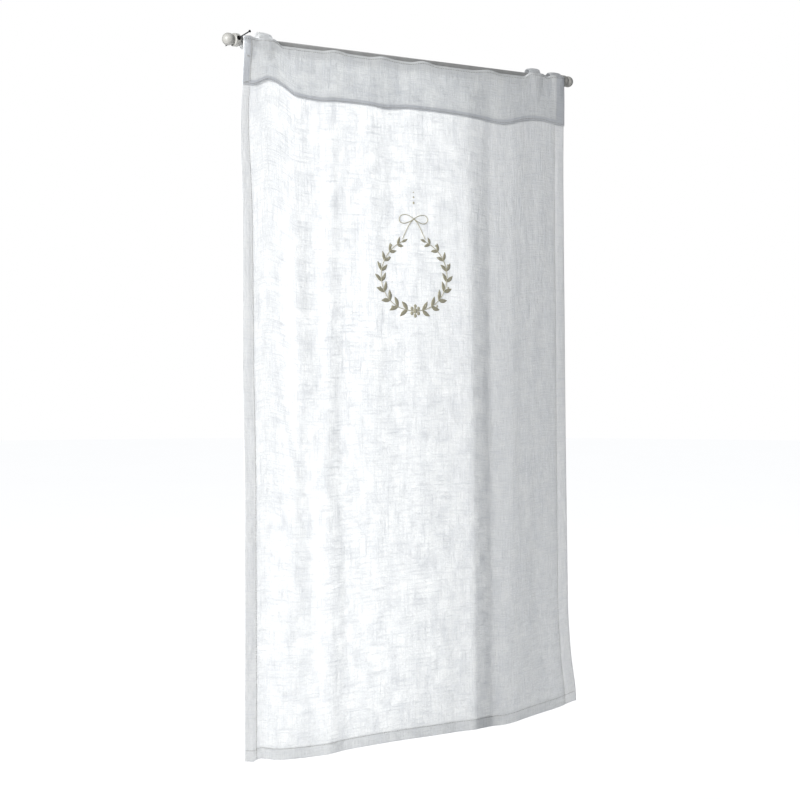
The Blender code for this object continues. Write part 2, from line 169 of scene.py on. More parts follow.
# Creases that the hand leaves in linen, from one place on the cloth to another
CREASE_WANDER = 0.0022
Crease = namedtuple("Crease", "start_station start_drop end_station end_drop half_width depth")
CREASES = [
    Crease(0.070, 0.100, 0.084, 0.440, 0.0085, 0.0007),
    Crease(0.093, 0.120, 0.097, 0.360, 0.0070, -0.0009),
    Crease(0.104, 0.130, 0.110, 0.330, 0.0060, 0.0006),
    Crease(0.148, 0.100, 0.152, 0.280, 0.0080, 0.0005),
    Crease(0.170, 0.140, 0.172, 0.330, 0.0060, 0.0007),
    Crease(0.205, 0.100, 0.213, 0.500, 0.0070, 0.0010),
    Crease(0.222, 0.180, 0.219, 0.420, 0.0065, -0.0007),
    Crease(0.048, 0.470, 0.128, 0.760, 0.0085, 0.0012),
    Crease(0.064, 0.500, 0.142, 0.780, 0.0080, -0.0012),
    Crease(0.120, 0.700, 0.136, 0.940, 0.0080, 0.0012),
    Crease(0.152, 0.540, 0.168, 0.960, 0.0080, 0.0013),
    Crease(0.138, 0.560, 0.150, 0.900, 0.0070, -0.0009),
    Crease(0.180, 0.480, 0.183, 0.760, 0.0065, -0.0008),
    Crease(0.200, 0.370, 0.205, 0.880, 0.0070, 0.0009),
    Crease(0.238, 0.330, 0.229, 0.820, 0.0075, 0.0008),
    Crease(0.262, 0.440, 0.258, 0.720, 0.0070, -0.0005),
    Crease(0.376, 0.090, 0.381, 0.420, 0.0055, 0.0007),
    Crease(0.384, 0.120, 0.388, 0.360, 0.0055, -0.0006),
    Crease(0.396, 0.600, 0.389, 0.900, 0.0065, -0.0007),
    Crease(0.330, 0.938, 0.424, 0.955, 0.0060, 0.0008),
    Crease(0.345, 0.953, 0.410, 0.965, 0.0050, -0.0006),
    Crease(0.090, 0.905, 0.200, 0.945, 0.0070, 0.0008),
    Crease(0.060, 0.935, 0.150, 0.968, 0.0070, -0.0007),
    Crease(0.086, 0.760, 0.080, 0.930, 0.0075, -0.0009),
    Crease(0.290, 0.100, 0.286, 0.190, 0.0080, 0.0005),
    Crease(0.530, 0.100, 0.536, 0.900, 0.0060, 0.0005),
    Crease(0.030, 0.780, 0.064, 0.800, 0.0050, -0.0014),
    Crease(0.064, 0.756, 0.092, 0.776, 0.0050, -0.0014),
    Crease(0.070, 0.838, 0.080, 0.870, 0.0055, -0.0016),
    Crease(0.064, 0.915, 0.084, 0.952, 0.0055, -0.0016),
    Crease(0.024, 0.878, 0.058, 0.896, 0.0050, -0.0013),
    Crease(0.084, 0.892, 0.118, 0.910, 0.0050, -0.0014),
    Crease(0.134, 0.878, 0.178, 0.920, 0.0070, -0.0022),
    Crease(0.142, 0.922, 0.200, 0.942, 0.0060, -0.0018),
    Crease(0.208, 0.950, 0.272, 0.966, 0.0050, -0.0013),
    Crease(0.096, 0.838, 0.130, 0.849, 0.0045, -0.0011),
    Crease(0.205, 0.854, 0.285, 0.864, 0.0045, -0.0010),
    Crease(0.142, 0.822, 0.168, 0.862, 0.0070, -0.0020),
    Crease(0.162, 0.740, 0.190, 0.835, 0.0060, -0.0015),
    Crease(0.112, 0.700, 0.150, 0.716, 0.0045, -0.0010),
    Crease(0.232, 0.700, 0.300, 0.692, 0.0045, -0.0009),
    Crease(0.252, 0.905, 0.330, 0.898, 0.0045, -0.0010),
    Crease(0.300, 0.800, 0.372, 0.812, 0.0045, -0.0009),
    Crease(0.050, 0.640, 0.098, 0.652, 0.0045, -0.0008),
]

# Unevenness between the folds: width and height of its patches, seed and share
Ripple = namedtuple("Ripple", "wide tall seed share")
RIPPLES = [
    Ripple(0.034, 0.210, 1.7, 1.0),
    Ripple(0.0135, 0.085, 5.3, 0.45),
    Ripple(0.060, 0.024, 9.1, 0.30),
]

# How far the cloth stands above its plain hanging height, at stations along its width
Lift = namedtuple("Lift", "station top seam hem")
LIFTS = [
    Lift(0.000, 0.0105, 0.0124, 0.0098),
    Lift(0.016, 0.0105, 0.0118, 0.0076),
    Lift(0.021, 0.0070, 0.0130, 0.0094),
    Lift(0.026, 0.0105, 0.0160, 0.0106),
    Lift(0.039, 0.0105, 0.0212, 0.0080),
    Lift(0.050, 0.0105, 0.0190, 0.0056),
    Lift(0.064, 0.0026, 0.0130, 0.0040),
    Lift(0.087, 0.0026, 0.0012, 0.0026),
    Lift(0.131, 0.0028, -0.0018, 0.0012),
    Lift(0.157, 0.0062, 0.0000, 0.0022),
    Lift(0.183, 0.0030, 0.0004, 0.0034),
    Lift(0.218, 0.0026, -0.0004, 0.0042),
    Lift(0.244, 0.0056, -0.0026, 0.0045),
    Lift(0.270, 0.0028, -0.0010, 0.0044),
    Lift(0.294, 0.0024, 0.0008, 0.0041),
    Lift(0.322, 0.0064, 0.0006, 0.0032),
    Lift(0.350, 0.0026, 0.0002, 0.0026),
    Lift(0.417, 0.0022, -0.0026, 0.0004),
    Lift(0.455, 0.0058, -0.0058, -0.0030),
    Lift(0.480, 0.0026, -0.0072, -0.0044),
    Lift(0.528, 0.0030, 0.0024, 0.0004),
    Lift(0.543, 0.0105, 0.0042, 0.0022),
    Lift(0.567, 0.0105, 0.0046, 0.0048),
    Lift(0.578, 0.0070, 0.0034, 0.0063),
    Lift(0.589, 0.0105, 0.0018, 0.0082),
    Lift(0.615, 0.0105, -0.0004, 0.0132),
]

# Sideways swing of the two side edges at distances down the cloth, right is positive
Swing = namedtuple("Swing", "drop left right")
SWINGS = [
    Swing(0.000, -0.0010, 0.0000),
    Swing(0.130, -0.0072, 0.0000),
    Swing(0.240, -0.0040, 0.0016),
    Swing(0.450, -0.0036, 0.0056),
    Swing(0.650, 0.0005, 0.0074),
    Swing(0.850, 0.0005, 0.0096),
    Swing(0.930, 0.0005, 0.0158),
    Swing(1.012, 0.0005, 0.0276),
]

# Loops over the rod, with the height of their two top corners and of the arch's feet
Tab = namedtuple("Tab", "node piece start end left_crown right_crown arch_foot")
TABS = [
    Tab("tab_corner_left", "loop_corner_left", 0.0010, 0.0155, 0.0078, 0.0090, 0.0000),
    Tab("tab_inner_left", "loop_inner_left", 0.0262, 0.0500, 0.0160, 0.0142, 0.0030),
    Tab("tab_inner_right", "loop_inner_right", 0.5430, 0.5670, 0.0138, 0.0152, 0.0030),
    Tab("tab_corner_right", "loop_corner_right", 0.5890, 0.6140, 0.0118, 0.0126, 0.0020),
]
BackLeg = namedtuple("BackLeg", "share height")
BACK_LEG = [
    BackLeg(1.000, -0.0030),
    BackLeg(0.870, -0.0072),
    BackLeg(0.570, -0.0110),
    BackLeg(0.240, -0.0142),
    BackLeg(0.050, -0.0170),
    BackLeg(0.000, -0.0200),
    BackLeg(0.000, TAB_FOOT),
]

# Seams and tacks
SEAM_INSET = 0.0018
SEAM_END = 0.002
HEADING_SEAM_INSET = 0.002
HEADING_SEAM_END = 0.004
TOP_SEAM_DROP = 0.0035
STITCH_LIFT = 0.00005
GROOVE_HALF_WIDTH = 0.0030
PUCKER_HALF_WIDTH = 0.0100
TACK_STATION = 0.0050
TACK_PITCH = 0.0010
TACK_STEP = 0.0007
TACK_LIFT = 0.0003
TACK_SIZE = (0.0003, 0.0003, 0.0019)
TACK_STITCHES = 4
# Drop of each tack and the lean of its first stitch
TACKS = ((0.028, 0.9), (0.0655, 0.2))

# Wreath, its turns counted from its bottom
FIRST_PAIR_TURN = 0.22
LAST_PAIR_TURN = 2.62
STEM_TIP_TURN = 2.76
STEM_RADIUS = 0.00062
STEM_LIFT = 0.0004
SATIN_PITCH = 0.0006
SATIN_LIFT = 0.00010
SATIN_TOP = 0.00060
SATIN_UNDERSIDE = 0.00020
LEAF_LEAN = 0.72
LEAF_BEND = 0.05
LEAF_SHRINKING = 0.28
TIP_LEAF_SIZE = (0.012, 0.0045)
KNOT_LIFT_SHARE = 0.7
BERRY_SIDES = (0.905, 1.085)
BERRY = (0.0019, 0.0005)
FLOWER_MIDDLE = (0.0042, 0.0007)
FLOWER_PETAL = (0.0030, 0.0005)
FLOWER_PETALS = 6
FLOWER_RADIUS = 0.0072
DOT_HEIGHT = 0.0005
# Drop and radius of each dot above the bow
DOTS = ((0.1935, 0.0011), (0.2010, 0.0015), (0.2095, 0.0020))
BOW_DROP = 0.2335
BOW_LOOP_REACH = 0.0135
BOW_LOOP_HEIGHT = 0.0085
BOW_TAIL_SPREAD = 0.0215
BOW_TAIL_DROP = 0.030
BOW_TAIL_ARCH = 0.006

# Linens, all of one weave: share of the light that comes through, air between the threads,
# and painted shade that greys the colour where many layers lie
THREADS_PER_METRE = 1350.0
Linen = namedtuple("Linen", "light_through sheer dimmed")
LINENS = {
    "single linen": Linen(0.54, 0.30, 0.0),
    "hemmed linen": Linen(0.32, 0.08, 0.0),
    "heading linen": Linen(0.64, 0.32, 0.0),
    "heading hem linen": Linen(0.56, 0.10, 0.55),
    "loop linen": Linen(0.74, 0.24, 0.0),
}
# Colour where the wire has rusted, and share of a paint's colour that dirt leaves
RUST = (0.16, 0.07, 0.035)
DIRT_SHARE = 0.62

# Studio
CAMERA_PLACE = (-1.6653, -2.0579, -0.4160)
CAMERA_TURN = radians(-38.6)
SENSOR_WIDTH = 36.0
FLOOR_RADIUS = 14.0
STAGE_MIDDLE = (0.0, 0.0, -0.50)
SIDE_LIGHT_PLACE = (-2.80, -1.05, 0.55)
SIDE_LIGHT_SIZE = (0.8, 1.2)
BACK_LIGHT_ALONG = -0.0975
BACK_LIGHT_BEHIND = 0.045
BACK_LIGHT_WIDTH = 0.405
# Name, lower and upper height and share of the power
BACK_LIGHTS = [("back light", -1.015, 0.210, 1.0), ("upper back light", -0.420, 0.210, 0.06)]


class ClothSettings(bpy.types.PropertyGroup):
    """Sizes of the linen and its sewing."""

    thickness: bpy.props.FloatProperty(
        name="Cloth thickness",
        description="Thickness of one layer of the linen",
        default=0.00035,
        unit="LENGTH",
    )
    layer_pitch: bpy.props.FloatProperty(
        name="Layer pitch",
        description="Distance between two layers in a hem",
        default=0.00050,
        unit="LENGTH",
    )
    column_step: bpy.props.FloatProperty(
        name="Column step",
        description="Widest step of the mesh across the cloth",
        default=0.0042,
        unit="LENGTH",
    )
    row_step: bpy.props.FloatProperty(
        name="Row step",
        description="Longest step of the mesh down the cloth",
        default=0.0052,
        unit="LENGTH",
    )
    crease_strength: bpy.props.FloatProperty(
        name="Crease strength",
        description="How deep the small creases are pressed",
        default=0.34,
    )
    ripple: bpy.props.FloatProperty(
        name="Ripple",
        description="Height of the slight unevenness between the folds",
        default=0.00055,
        unit="LENGTH",
    )
    seam_depth: bpy.props.FloatProperty(
        name="Seam depth",
        description="How far the stitches draw the cloth in",
        default=0.00035,
        unit="LENGTH",
    )
    loop_thickness: bpy.props.FloatProperty(
        name="Loop thickness",
        description="Thickness of the doubled strip of a loop",
        default=0.0009,
        unit="LENGTH",
    )


class StitchSettings(bpy.types.PropertyGroup):
    """Sizes of the seams and of the embroidered wreath."""

    length: bpy.props.FloatProperty(
        name="Stitch length",
        description="Length of one stitch of a seam",
        default=0.0023,
        unit="LENGTH",
    )
    pitch: bpy.props.FloatProperty(
        name="Stitch pitch",
        description="Distance from one stitch to the next",
        default=0.0033,
        unit="LENGTH",
    )
    width: bpy.props.FloatProperty(
        name="Thread width",
        description="Width of the sewing thread",
        default=0.00080,
        unit="LENGTH",
    )
    wreath_station: bpy.props.FloatProperty(
        name="Wreath station",
        description="Middle of the wreath across the cloth",
        default=0.3010,
        unit="LENGTH",
    )
    wreath_drop: bpy.props.FloatProperty(
        name="Wreath drop",
        description="Middle of the wreath down the cloth",
        default=0.3180,
        unit="LENGTH",
    )
    wreath_half_width: bpy.props.FloatProperty(
        name="Wreath half width",
        description="Half width of the oval that the stems follow",
        default=0.0630,
        unit="LENGTH",
    )
    wreath_half_height: bpy.props.FloatProperty(
        name="Wreath half height",
        description="Half height of the oval that the stems follow",
        default=0.0540,
        unit="LENGTH",
    )
    leaf_length: bpy.props.FloatProperty(
        name="Leaf length",
        description="Length of an embroidered leaf",
        default=0.0172,
        unit="LENGTH",
    )
    leaf_width: bpy.props.FloatProperty(
        name="Leaf width",
        description="Width of an embroidered leaf",
        default=0.0068,
        unit="LENGTH",
    )
    leaf_pairs: bpy.props.IntProperty(
        name="Leaf pairs",
        description="Pairs of leaves on each of the two stems",
        default=9,
        min=2,
    )


class FinishSettings(bpy.types.PropertyGroup):
    """Colours of the finishes."""

    linen: bpy.props.FloatVectorProperty(
        name="Linen",
        description="Colour of the bleached linen",
        subtype="COLOR",
        default=(0.93, 0.935, 0.93),
    )
    linen_shade: bpy.props.FloatVectorProperty(
        name="Linen shade",
        description="Colour of the thicker threads and slubs",
        subtype="COLOR",
        default=(0.68, 0.70, 0.73),
    )
    # Partly the real grey thread, partly painted shadow: made dark so the heading's lower seam
    # stands for the shadow under the heading's edge
    sewing_thread: bpy.props.FloatVectorProperty(
        name="Sewing thread",
        description="Colour of the seams",
        subtype="COLOR",
        default=(0.22, 0.215, 0.20),
    )
    embroidery: bpy.props.FloatVectorProperty(
        name="Embroidery",
        description="Colour of the wreath",
        subtype="COLOR",
        default=(0.27, 0.255, 0.18),
    )
    embroidery_light: bpy.props.FloatVectorProperty(
        name="Embroidery light",
        description="Colour of the wreath's paler threads",
        subtype="COLOR",
        default=(0.46, 0.435, 0.33),
    )
    # Painted shade: the cream paint of the ball ends is darkened here to stand for the balls in
    # shade
    paint: bpy.props.FloatVectorProperty(
        name="Paint",
        description="Colour of the paint on the ball ends",
        subtype="COLOR",
        default=(0.345, 0.34, 0.32),
    )
    # Painted shade: the rod's pale paint is darkened to grey here to stand for the rod lying in
    # shade
    rod_paint_and_shade: bpy.props.FloatVectorProperty(
        name="Rod paint",
        description="Colour of the greyed paint along the rod",
        subtype="COLOR",
        default=(0.29, 0.29, 0.285),
    )
    bare_wood: bpy.props.FloatVectorProperty(
        name="Bare wood",
        description="Colour where the paint has worn off",
        subtype="COLOR",
        default=(0.22, 0.17, 0.12),
    )
    # Painted shade: near black, standing for the shade deep in the nail's hole over its bare wood
    hole: bpy.props.FloatVectorProperty(
        name="Hole",
        description="Colour of the dirty wood inside the drilled hole",
        subtype="COLOR",
        default=(0.035, 0.03, 0.025),
    )
    steel: bpy.props.FloatVectorProperty(
        name="Steel",
        description="Colour of the nail",
        subtype="COLOR",
        default=(0.045, 0.045, 0.05),
    )
    floor: bpy.props.FloatVectorProperty(
        name="Floor",
        description="Colour of the studio floor",
        subtype="COLOR",
        default=(0.90, 0.90, 0.90),
    )


class StageSettings(bpy.types.PropertyGroup):
    """The studio's camera, floor and lights."""

    lens: bpy.props.FloatProperty(
        name="Lens",
        description="Focal length in millimetres on a 36 mm sensor",
        default=79.0,
    )
    horizon_shift: bpy.props.FloatProperty(
        name="Horizon shift",
        description="Share of the picture by which the level camera's view is lowered",
        default=-0.0775,
    )
    floor_height: bpy.props.FloatProperty(
        name="Floor height",
        description="Height of the floor under the hanging cloth",
        default=-1.36,
        unit="LENGTH",
    )
    key_power: bpy.props.FloatProperty(
        name="Side light",
        description="Power of the soft light on the left of the camera, in watts",
        default=143.0,
    )
    back_power: bpy.props.FloatProperty(
        name="Back light",
        description="Power of the soft light behind the cloth, in watts",
        default=2.18,
    )
    ambient: bpy.props.FloatProperty(
        name="Ambient",
        description="Brightness of the studio all round",
        default=0.30,
    )


def smooth_through(knots, values, where):
    """Smooth curve through the knots at an array of places, never passing its neighbours."""
    knots = np.asarray(knots, float)
    where = np.asarray(where, float)
    levels = np.stack([np.broadcast_to(np.asarray(v, float), where.shape) for v in values])
    spans = np.diff(knots).reshape(-1, *[1] * where.ndim)
    rises = np.diff(levels, axis=0) / spans
    before, after = rises[:-1], rises[1:]
    same = before * after > 0
    slopes = np.zeros_like(levels)
    slopes[1:-1] = np.where(same, 2 * before * after / np.where(same, before + after, 1.0), 0.0)
    i = np.clip(np.searchsorted(knots, where, side="right") - 1, 0, len(knots) - 2)
    span = np.diff(knots)[i]
    t = np.clip((where - knots[i]) / span, 0.0, 1.0)

    def pick(table, k):
        return np.take_along_axis(table, k[None], 0)[0]

    start = (1 + 2 * t) * (1 - t) ** 2 * pick(levels, i)
    start += t * (1 - t) ** 2 * span * pick(slopes, i)
    end = t * t * (3 - 2 * t) * pick(levels, i + 1)
    end -= t * t * (1 - t) * span * pick(slopes, i + 1)
    return start + end


def swell(distance, half_width):
    """A soft ridge: 1 at its middle, 0 from its half width on."""
    share = np.clip(np.abs(distance) / half_width, 0.0, 1.0)
    return 0.5 * (1 + np.cos(pi * share))


def eased(value, start, end):
    """0 before start and 1 after end, smooth between them."""
    t = np.clip((value - start) / (end - start), 0.0, 1.0)
    return t * t * (3 - 2 * t)


def soft_folds(station, drop):
    """Depth of the broad folds."""
    total = 0.0
    for fold in FOLDS.values():
        along = drop / CLOTH_DROP
        middle = fold.top_station + along * (fold.hem_station - fold.top_station)
        depth = smooth_through(FOLD_DROPS, (0.0, fold.top, fold.middle, fold.hem), drop)
        total = total + depth * swell(station - middle, fold.half_width)
    return total


def slope_depth(station, drop):
    """Depth of the crisp folds on the right, their corners a little rounded."""
    stations = [row.station for row in SLOPES]
    steps = np.linspace(-SLOPE_ROUNDING, SLOPE_ROUNDING, 7)
    levels = [0.0]
    for line in ("top", "middle", "hem"):
        depths = [getattr(row, line) for row in SLOPES]
        levels.append(sum(np.interp(station + step, stations, depths) for step in steps) / 7)
    return smooth_through(FOLD_DROPS, levels, drop)


def crease_depth(station, drop):
    """Depth of the small pressed creases."""
    total = 0.0
    for row in CREASES:
        run, fall = row.end_station - row.start_station, row.end_drop - row.start_drop
        length = (run**2 + fall**2) ** 0.5
        over, down = station - row.start_station, drop - row.start_drop
        along = np.clip((over * run + down * fall) / length**2, 0.0, 1.0)
        across = (over * fall - down * run) / length
        wander = CREASE_WANDER * np.sin(9.0 * along + 40.0 * row.start_station)
        fade = np.sin(pi * along) ** 0.7
        total = total + row.depth * fade * swell(across - wander, row.half_width)
    return total


def loop_relief(station, drop):
    """The cloth pressed forward a little by the feet of the loops behind it."""
    total = 0.0
    taper = 1 - LOOP_PRESS_TAPER * np.clip(drop / LOOP_PRESS_TAPER_DROP, 0.0, 1.0)
    inner, outer = LOOP_PRESS_SIDES
    for tab in TABS:
        middle, half = (tab.start + tab.end) / 2, (tab.end - tab.start) / 2 * taper
        inside = 1 - eased(np.abs(station - middle), half + inner, half + outer)
        total = total + LOOP_PRESS * inside * (1 - eased(drop, *LOOP_PRESS_FADE))
    return total


def seam_grooves(station, drop):
    """The cloth drawn in along the stitches of its hems, with slight puckers beside them."""
    left = beside_left_hem(np.full(np.shape(station), SIDE_HEM - SEAM_INSET), drop, SIDE_HEM)
    right = CLOTH_WIDTH - SIDE_HEM + SEAM_INSET
    low = CLOTH_DROP - BOTTOM_HEM + SEAM_INSET
    below = drop > HEADING_DEPTH

    def beside(half_width):
        """Ridges along both side seams."""
        return (swell(station - left, half_width) + swell(station - right, half_width)) * below

    pucker = 0.5 + 0.5 * np.sin(drop * 520.0 + 3.0 * np.sin(drop * 71.0))
    total = beside(GROOVE_HALF_WIDTH) + 0.5 * beside(PUCKER_HALF_WIDTH) * pucker
    return total + swell(drop - low, GROOVE_HALF_WIDTH)


def ripples(station, drop):
    """Slight unevenness, longer down the cloth than across it."""
    made = [
        sum(r.share * noise.noise((across / r.wide, down / r.tall, r.seed)) for r in RIPPLES)
        for across, down in zip(np.ravel(station), np.ravel(drop))
    ]
    inside = eased(drop, HEADING_DEPTH * 0.8, HEADING_DEPTH * 2.0)
    return np.reshape(made, np.shape(station)) * inside


def cloth_lift(station, drop):
    """Height above the plain hanging height."""
    stations = [row.station for row in LIFTS]
    levels = [
        smooth_through(stations, [getattr(row, line) for row in LIFTS], station)
        for line in ("top", "seam", "hem")
    ]
    return smooth_through((0.0, HEADING_DEPTH, CLOTH_DROP), levels, drop)


def side_swing(station, drop):
    """Sideways shift, full at the side edges and fading inwards."""
    drops = [row.drop for row in SWINGS]
    left = smooth_through(drops, [row.left for row in SWINGS], drop)
    right = smooth_through(drops, [row.right for row in SWINGS], drop)
    near_left = np.clip(1 - station / LEFT_SWING_REACH, 0.0, None)
    near_right = np.clip(1 - (CLOTH_WIDTH - station) / RIGHT_SWING_REACH, 0.0, None)
    return left * near_left**2 + right * near_right**2


def cloth_point(station, drop, cloth):
    """Points in the middle of the cloth's front layer, one row of three for each place."""
    station, drop = np.asarray(station, float), np.asarray(drop, float)
    depth = soft_folds(station, drop) + slope_depth(station, drop)
    depth = depth + cloth.crease_strength * crease_depth(station, drop)
    depth = depth + cloth.ripple * ripples(station, drop) + loop_relief(station, drop)
    depth = depth - cloth.seam_depth * seam_grooves(station, drop)
    across = station - CLOTH_WIDTH / 2 + side_swing(station, drop)
    back = cloth.thickness / 2 - CLOTH_FRONT - depth
    up = TOP_HEIGHT - drop + cloth_lift(station, drop)
    return np.stack([across, back, up], axis=-1)


def cloth_normal(station, drop, cloth, reach=0.002):
    """Directions out of the cloth's front."""
    across = cloth_point(station + reach, drop, cloth) - cloth_point(station - reach, drop, cloth)
    down = cloth_point(station, drop + reach, cloth) - cloth_point(station, drop - reach, cloth)
    out = np.cross(down, across)
    return out / np.linalg.norm(out, axis=-1, keepdims=True)


def on_cloth(station, drop, cloth, out=0.0):
    """Points at a distance out from the cloth's front face."""
    station, drop = np.asarray(station, float), np.asarray(drop, float)
    rise = np.asarray(out, float) + cloth.thickness / 2
    points = cloth_point(station, drop, cloth)
    return points + cloth_normal(station, drop, cloth) * rise[..., None]


def add_piece(name, shape, finish, replaces=()):
    """Turn a bmesh into a named piece that moves with the curtain."""
    mesh = bpy.data.meshes.new(name)
    shape.to_mesh(mesh)
    shape.free()
    mesh.shade_smooth()
    thing = bpy.data.objects.new(name, mesh)
    thing.data.materials.append(finish)
    bpy.context.scene.collection.objects.link(thing)
    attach(thing, BODY)
    for node in replaces:
        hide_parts(node)
    return thing


def filled(marks, step):
    """The marks, with even steps no longer than step between them."""
    marks = sorted(marks)
    places = [marks[0]]
    for start, end in zip(marks, marks[1:]):
        parts = max(1, round((end - start) / step + 0.35))
        places += [start + (end - start) * k / parts for k in range(1, parts + 1)]
    return places


Turned = namedtuple("Turned", "edge angle along flat")
ARC_ANGLES = (0.25 * pi, 0.5 * pi, 0.75 * pi)


def turned_line(length, low_hem, high_hem, edge, marks, step):
    """Grid lines from one turned-under edge round the front to the other.

    Each has the edge that it turns round, the angle that it has turned, its distance
    from the low edge and its place in the flat cloth.
    """
    places = []
    if low_hem:
        back = filled([edge, low_hem * HEM_LAST_STEP, low_hem], step)
        places += [Turned("low", pi, along, -along) for along in reversed(back)]
        places += [Turned("low", angle, 0.0, 0.0) for angle in reversed(ARC_ANGLES)]
    first = edge if low_hem else 0.0
    last = length - edge if high_hem else length
    front = filled([first, *[m for m in marks if first < m < last], last], step)
    places += [Turned("", 0.0, along, along) for along in front]
    if high_hem:
        places += [Turned("high", angle, length, length) for angle in ARC_ANGLES]
        back = filled([edge, high_hem * HEM_LAST_STEP, high_hem], step)
        places += [Turned("high", pi, length - along, length + along) for along in back]
    return places


def beside_left_hem(station, drop, hem):
    """Stations moved so that the left side hem narrows towards the top, as it was sewn."""
    share = np.interp(drop, LEFT_HEM_DROPS, LEFT_HEM_SHARES)
    inside = station * share
    spread = (HEM_BLEND + hem * (1 - share)) / HEM_BLEND
    beyond = hem * share + (station - hem) * spread
    return np.where(station < hem, inside, np.where(station < hem + HEM_BLEND, beyond, station))


Cut = namedtuple("Cut", "width drop side_hem top_hem bottom_hem pitch out marks row_marks")


def hemmed_sheet(name, cut, cloth, finishes, replaces, low_hem=False, stand_off=None):
    """One sheet of cloth with its hems turned to the back, one grid from raw edge to raw edge.

    The side hems are turned first, and the bottom and top are turned over them. The second
    finish is for the side hems, and for the lower hem as well where low_hem says so.
    """
    edge = cut.pitch * HEM_TURN_PITCHES
    columns = turned_line(
        cut.width, cut.side_hem, cut.side_hem, edge, cut.marks, cloth.column_step
    )
    rows = turned_line(cut.drop, cut.top_hem, cut.bottom_hem, edge, cut.row_marks, cloth.row_step)

    def column_station(column):
        """Station of a grid line, a little in from the side where it turns."""
        if not 0 < column.angle < pi:
            return column.along
        in_from_side = cut.pitch / 2 * (1 - sin(column.angle))
        return in_from_side if column.edge == "low" else cut.width - in_from_side

    station = np.array([column_station(column) for column in columns])
    side_layer = np.array([0.5 * (1 - cos(column.angle)) for column in columns])
    to_side = np.minimum(station, cut.width - station)
    layers = 1 + 2 * (1 - eased(to_side, cut.side_hem, cut.side_hem + HEM_EASE))
    outer = cut.pitch / 2 * layers
    radius = cut.pitch / 2 * (layers - 2 * side_layer)
    station_grid = np.tile(station, (len(rows), 1))
    drop_grid = np.empty_like(station_grid)
    offset = np.empty_like(station_grid)
    for j, row in enumerate(rows):
        offset[j] = outer - radius * cos(row.angle)
        if not 0 < row.angle < pi:
            drop_grid[j] = row.along
        elif row.edge == "low":
            drop_grid[j] = outer - radius * sin(row.angle)
        else:
            drop_grid[j] = cut.drop - outer + radius * sin(row.angle)
        if row.angle == 0.0:
            offset[j] = cut.pitch * side_layer
    station_grid = beside_left_hem(station_grid, drop_grid, cut.side_hem)
    points = cloth_point(station_grid, drop_grid, cloth)
    normals = cloth_normal(station_grid, drop_grid, cloth)
    out = cut.out - offset
    if stand_off is not None:
        out = out + stand_off(station_grid, drop_grid)
    points = points + normals * out[..., None]

    shape = bmesh.new()
    across, down = len(columns) - 1, len(rows) - 1
    bmesh.ops.create_grid(shape, x_segments=across, y_segments=down, size=0.5)
    flat, hemmed = [], set()
    for vert in shape.verts:
        i = round((vert.co.x + 0.5) * across)
        j = round((0.5 - vert.co.y) * down)
        vert.co = points[j, i]
        flat.append((columns[i].flat, rows[j].flat))
        low = low_hem and rows[j].along > cut.drop - cut.bottom_hem - HEM_ROW_SLACK
        if low or to_side[i] < cut.side_hem - HEM_COLUMN_SLACK:
            hemmed.add(vert)
    for face in shape.faces:
        face.material_index = int(hemmed.issuperset(face.verts))
    sheet = add_piece(name, shape, finishes[0], replaces)
    sheet.data.materials.append(finishes[1])
    map_flat(sheet.data, flat)
    wall = sheet.modifiers.new("cloth thickness", "SOLIDIFY")
    wall.thickness = cloth.thickness
    wall.offset = 0.0
    return sheet


def map_flat(mesh, flat):
    """Give a mesh its flat map in metres, from one pair for each vertex."""
    layer = mesh.uv_layers.new(name="flat")
    corners = np.empty(len(mesh.loops), int)
    mesh.loops.foreach_get("vertex_index", corners)
    layer.data.foreach_set("uv", np.asarray(flat, float)[corners].ravel())


def heading_puff(station, drop):
    """The heading stands off the cloth, most between its seams and at its lower edge."""
    low = np.clip((drop - HEADING_DEPTH / 2) / (HEADING_DEPTH / 2), 0.0, 1.0)
    middle = swell(drop - HEADING_DEPTH * 0.52, HEADING_DEPTH * 0.45)
    wave = 0.6 + 0.4 * np.sin(station * 61.0 + 0.8) * np.sin(station * 23.0)
    return HEADING_STAND_OFF * low**2 + HEADING_PUFF * middle * wave


def tab_path(crown, arch_foot):
    """Side view of a loop, from its front foot over the rod to its back foot."""
    front = -TAB_MIDDLE
    beside = front + TAB_LAYER_GAP
    low_front = arch_foot - ROD_RADIUS / 2
    path = [(front, TAB_FOOT + (low_front - TAB_FOOT) * k / 6) for k in range(7)]
    for k in range(25):
        turn = pi * k / 24
        path.append((-TAB_MIDDLE * cos(turn), arch_foot + (crown - arch_foot) * sin(turn)))
    heights = [row.height for row in BACK_LEG]
    shares = [row.share for row in BACK_LEG]
    for height in np.linspace(heights[0], heights[-1], 13):
        share = np.interp(-height, [-h for h in heights], shares)
        path.append((beside + share * (TAB_MIDDLE - beside), height))
    return np.array(path)


def loop_shape(tab, cloth):
    """A flat tube of cloth along the loop's path, closed at both feet."""
    around, half_thick = 20, cloth.loop_thickness / 2
    half_width = (tab.end - tab.start) / 2
    sides = []
    for k in range(around):
        turn = 2 * pi * k / around
        across = np.sign(cos(turn)) * abs(cos(turn)) ** LOOP_SQUARENESS
        thick = np.sign(sin(turn)) * abs(sin(turn)) ** LOOP_FLATNESS * half_thick
        share = 0.5 + 0.5 * across
        crown = tab.left_crown + (tab.right_crown - tab.left_crown) * share
        crown -= half_thick + LOOP_CROWN_DIP * (2 * share - 1) ** 2 * (tab.arch_foot > 0)
        path = tab_path(crown, tab.arch_foot)
        run = np.gradient(path, axis=0)
        run /= np.linalg.norm(run, axis=1, keepdims=True)
        outward = np.stack([-run[:, 1], run[:, 0]], axis=1)
        place = path + outward * thick
        middle = (tab.start + tab.end) / 2 - CLOTH_WIDTH / 2
        x = np.full(len(path), middle + across * half_width)
        sides.append(np.column_stack([x, place]))
    return np.array(sides)


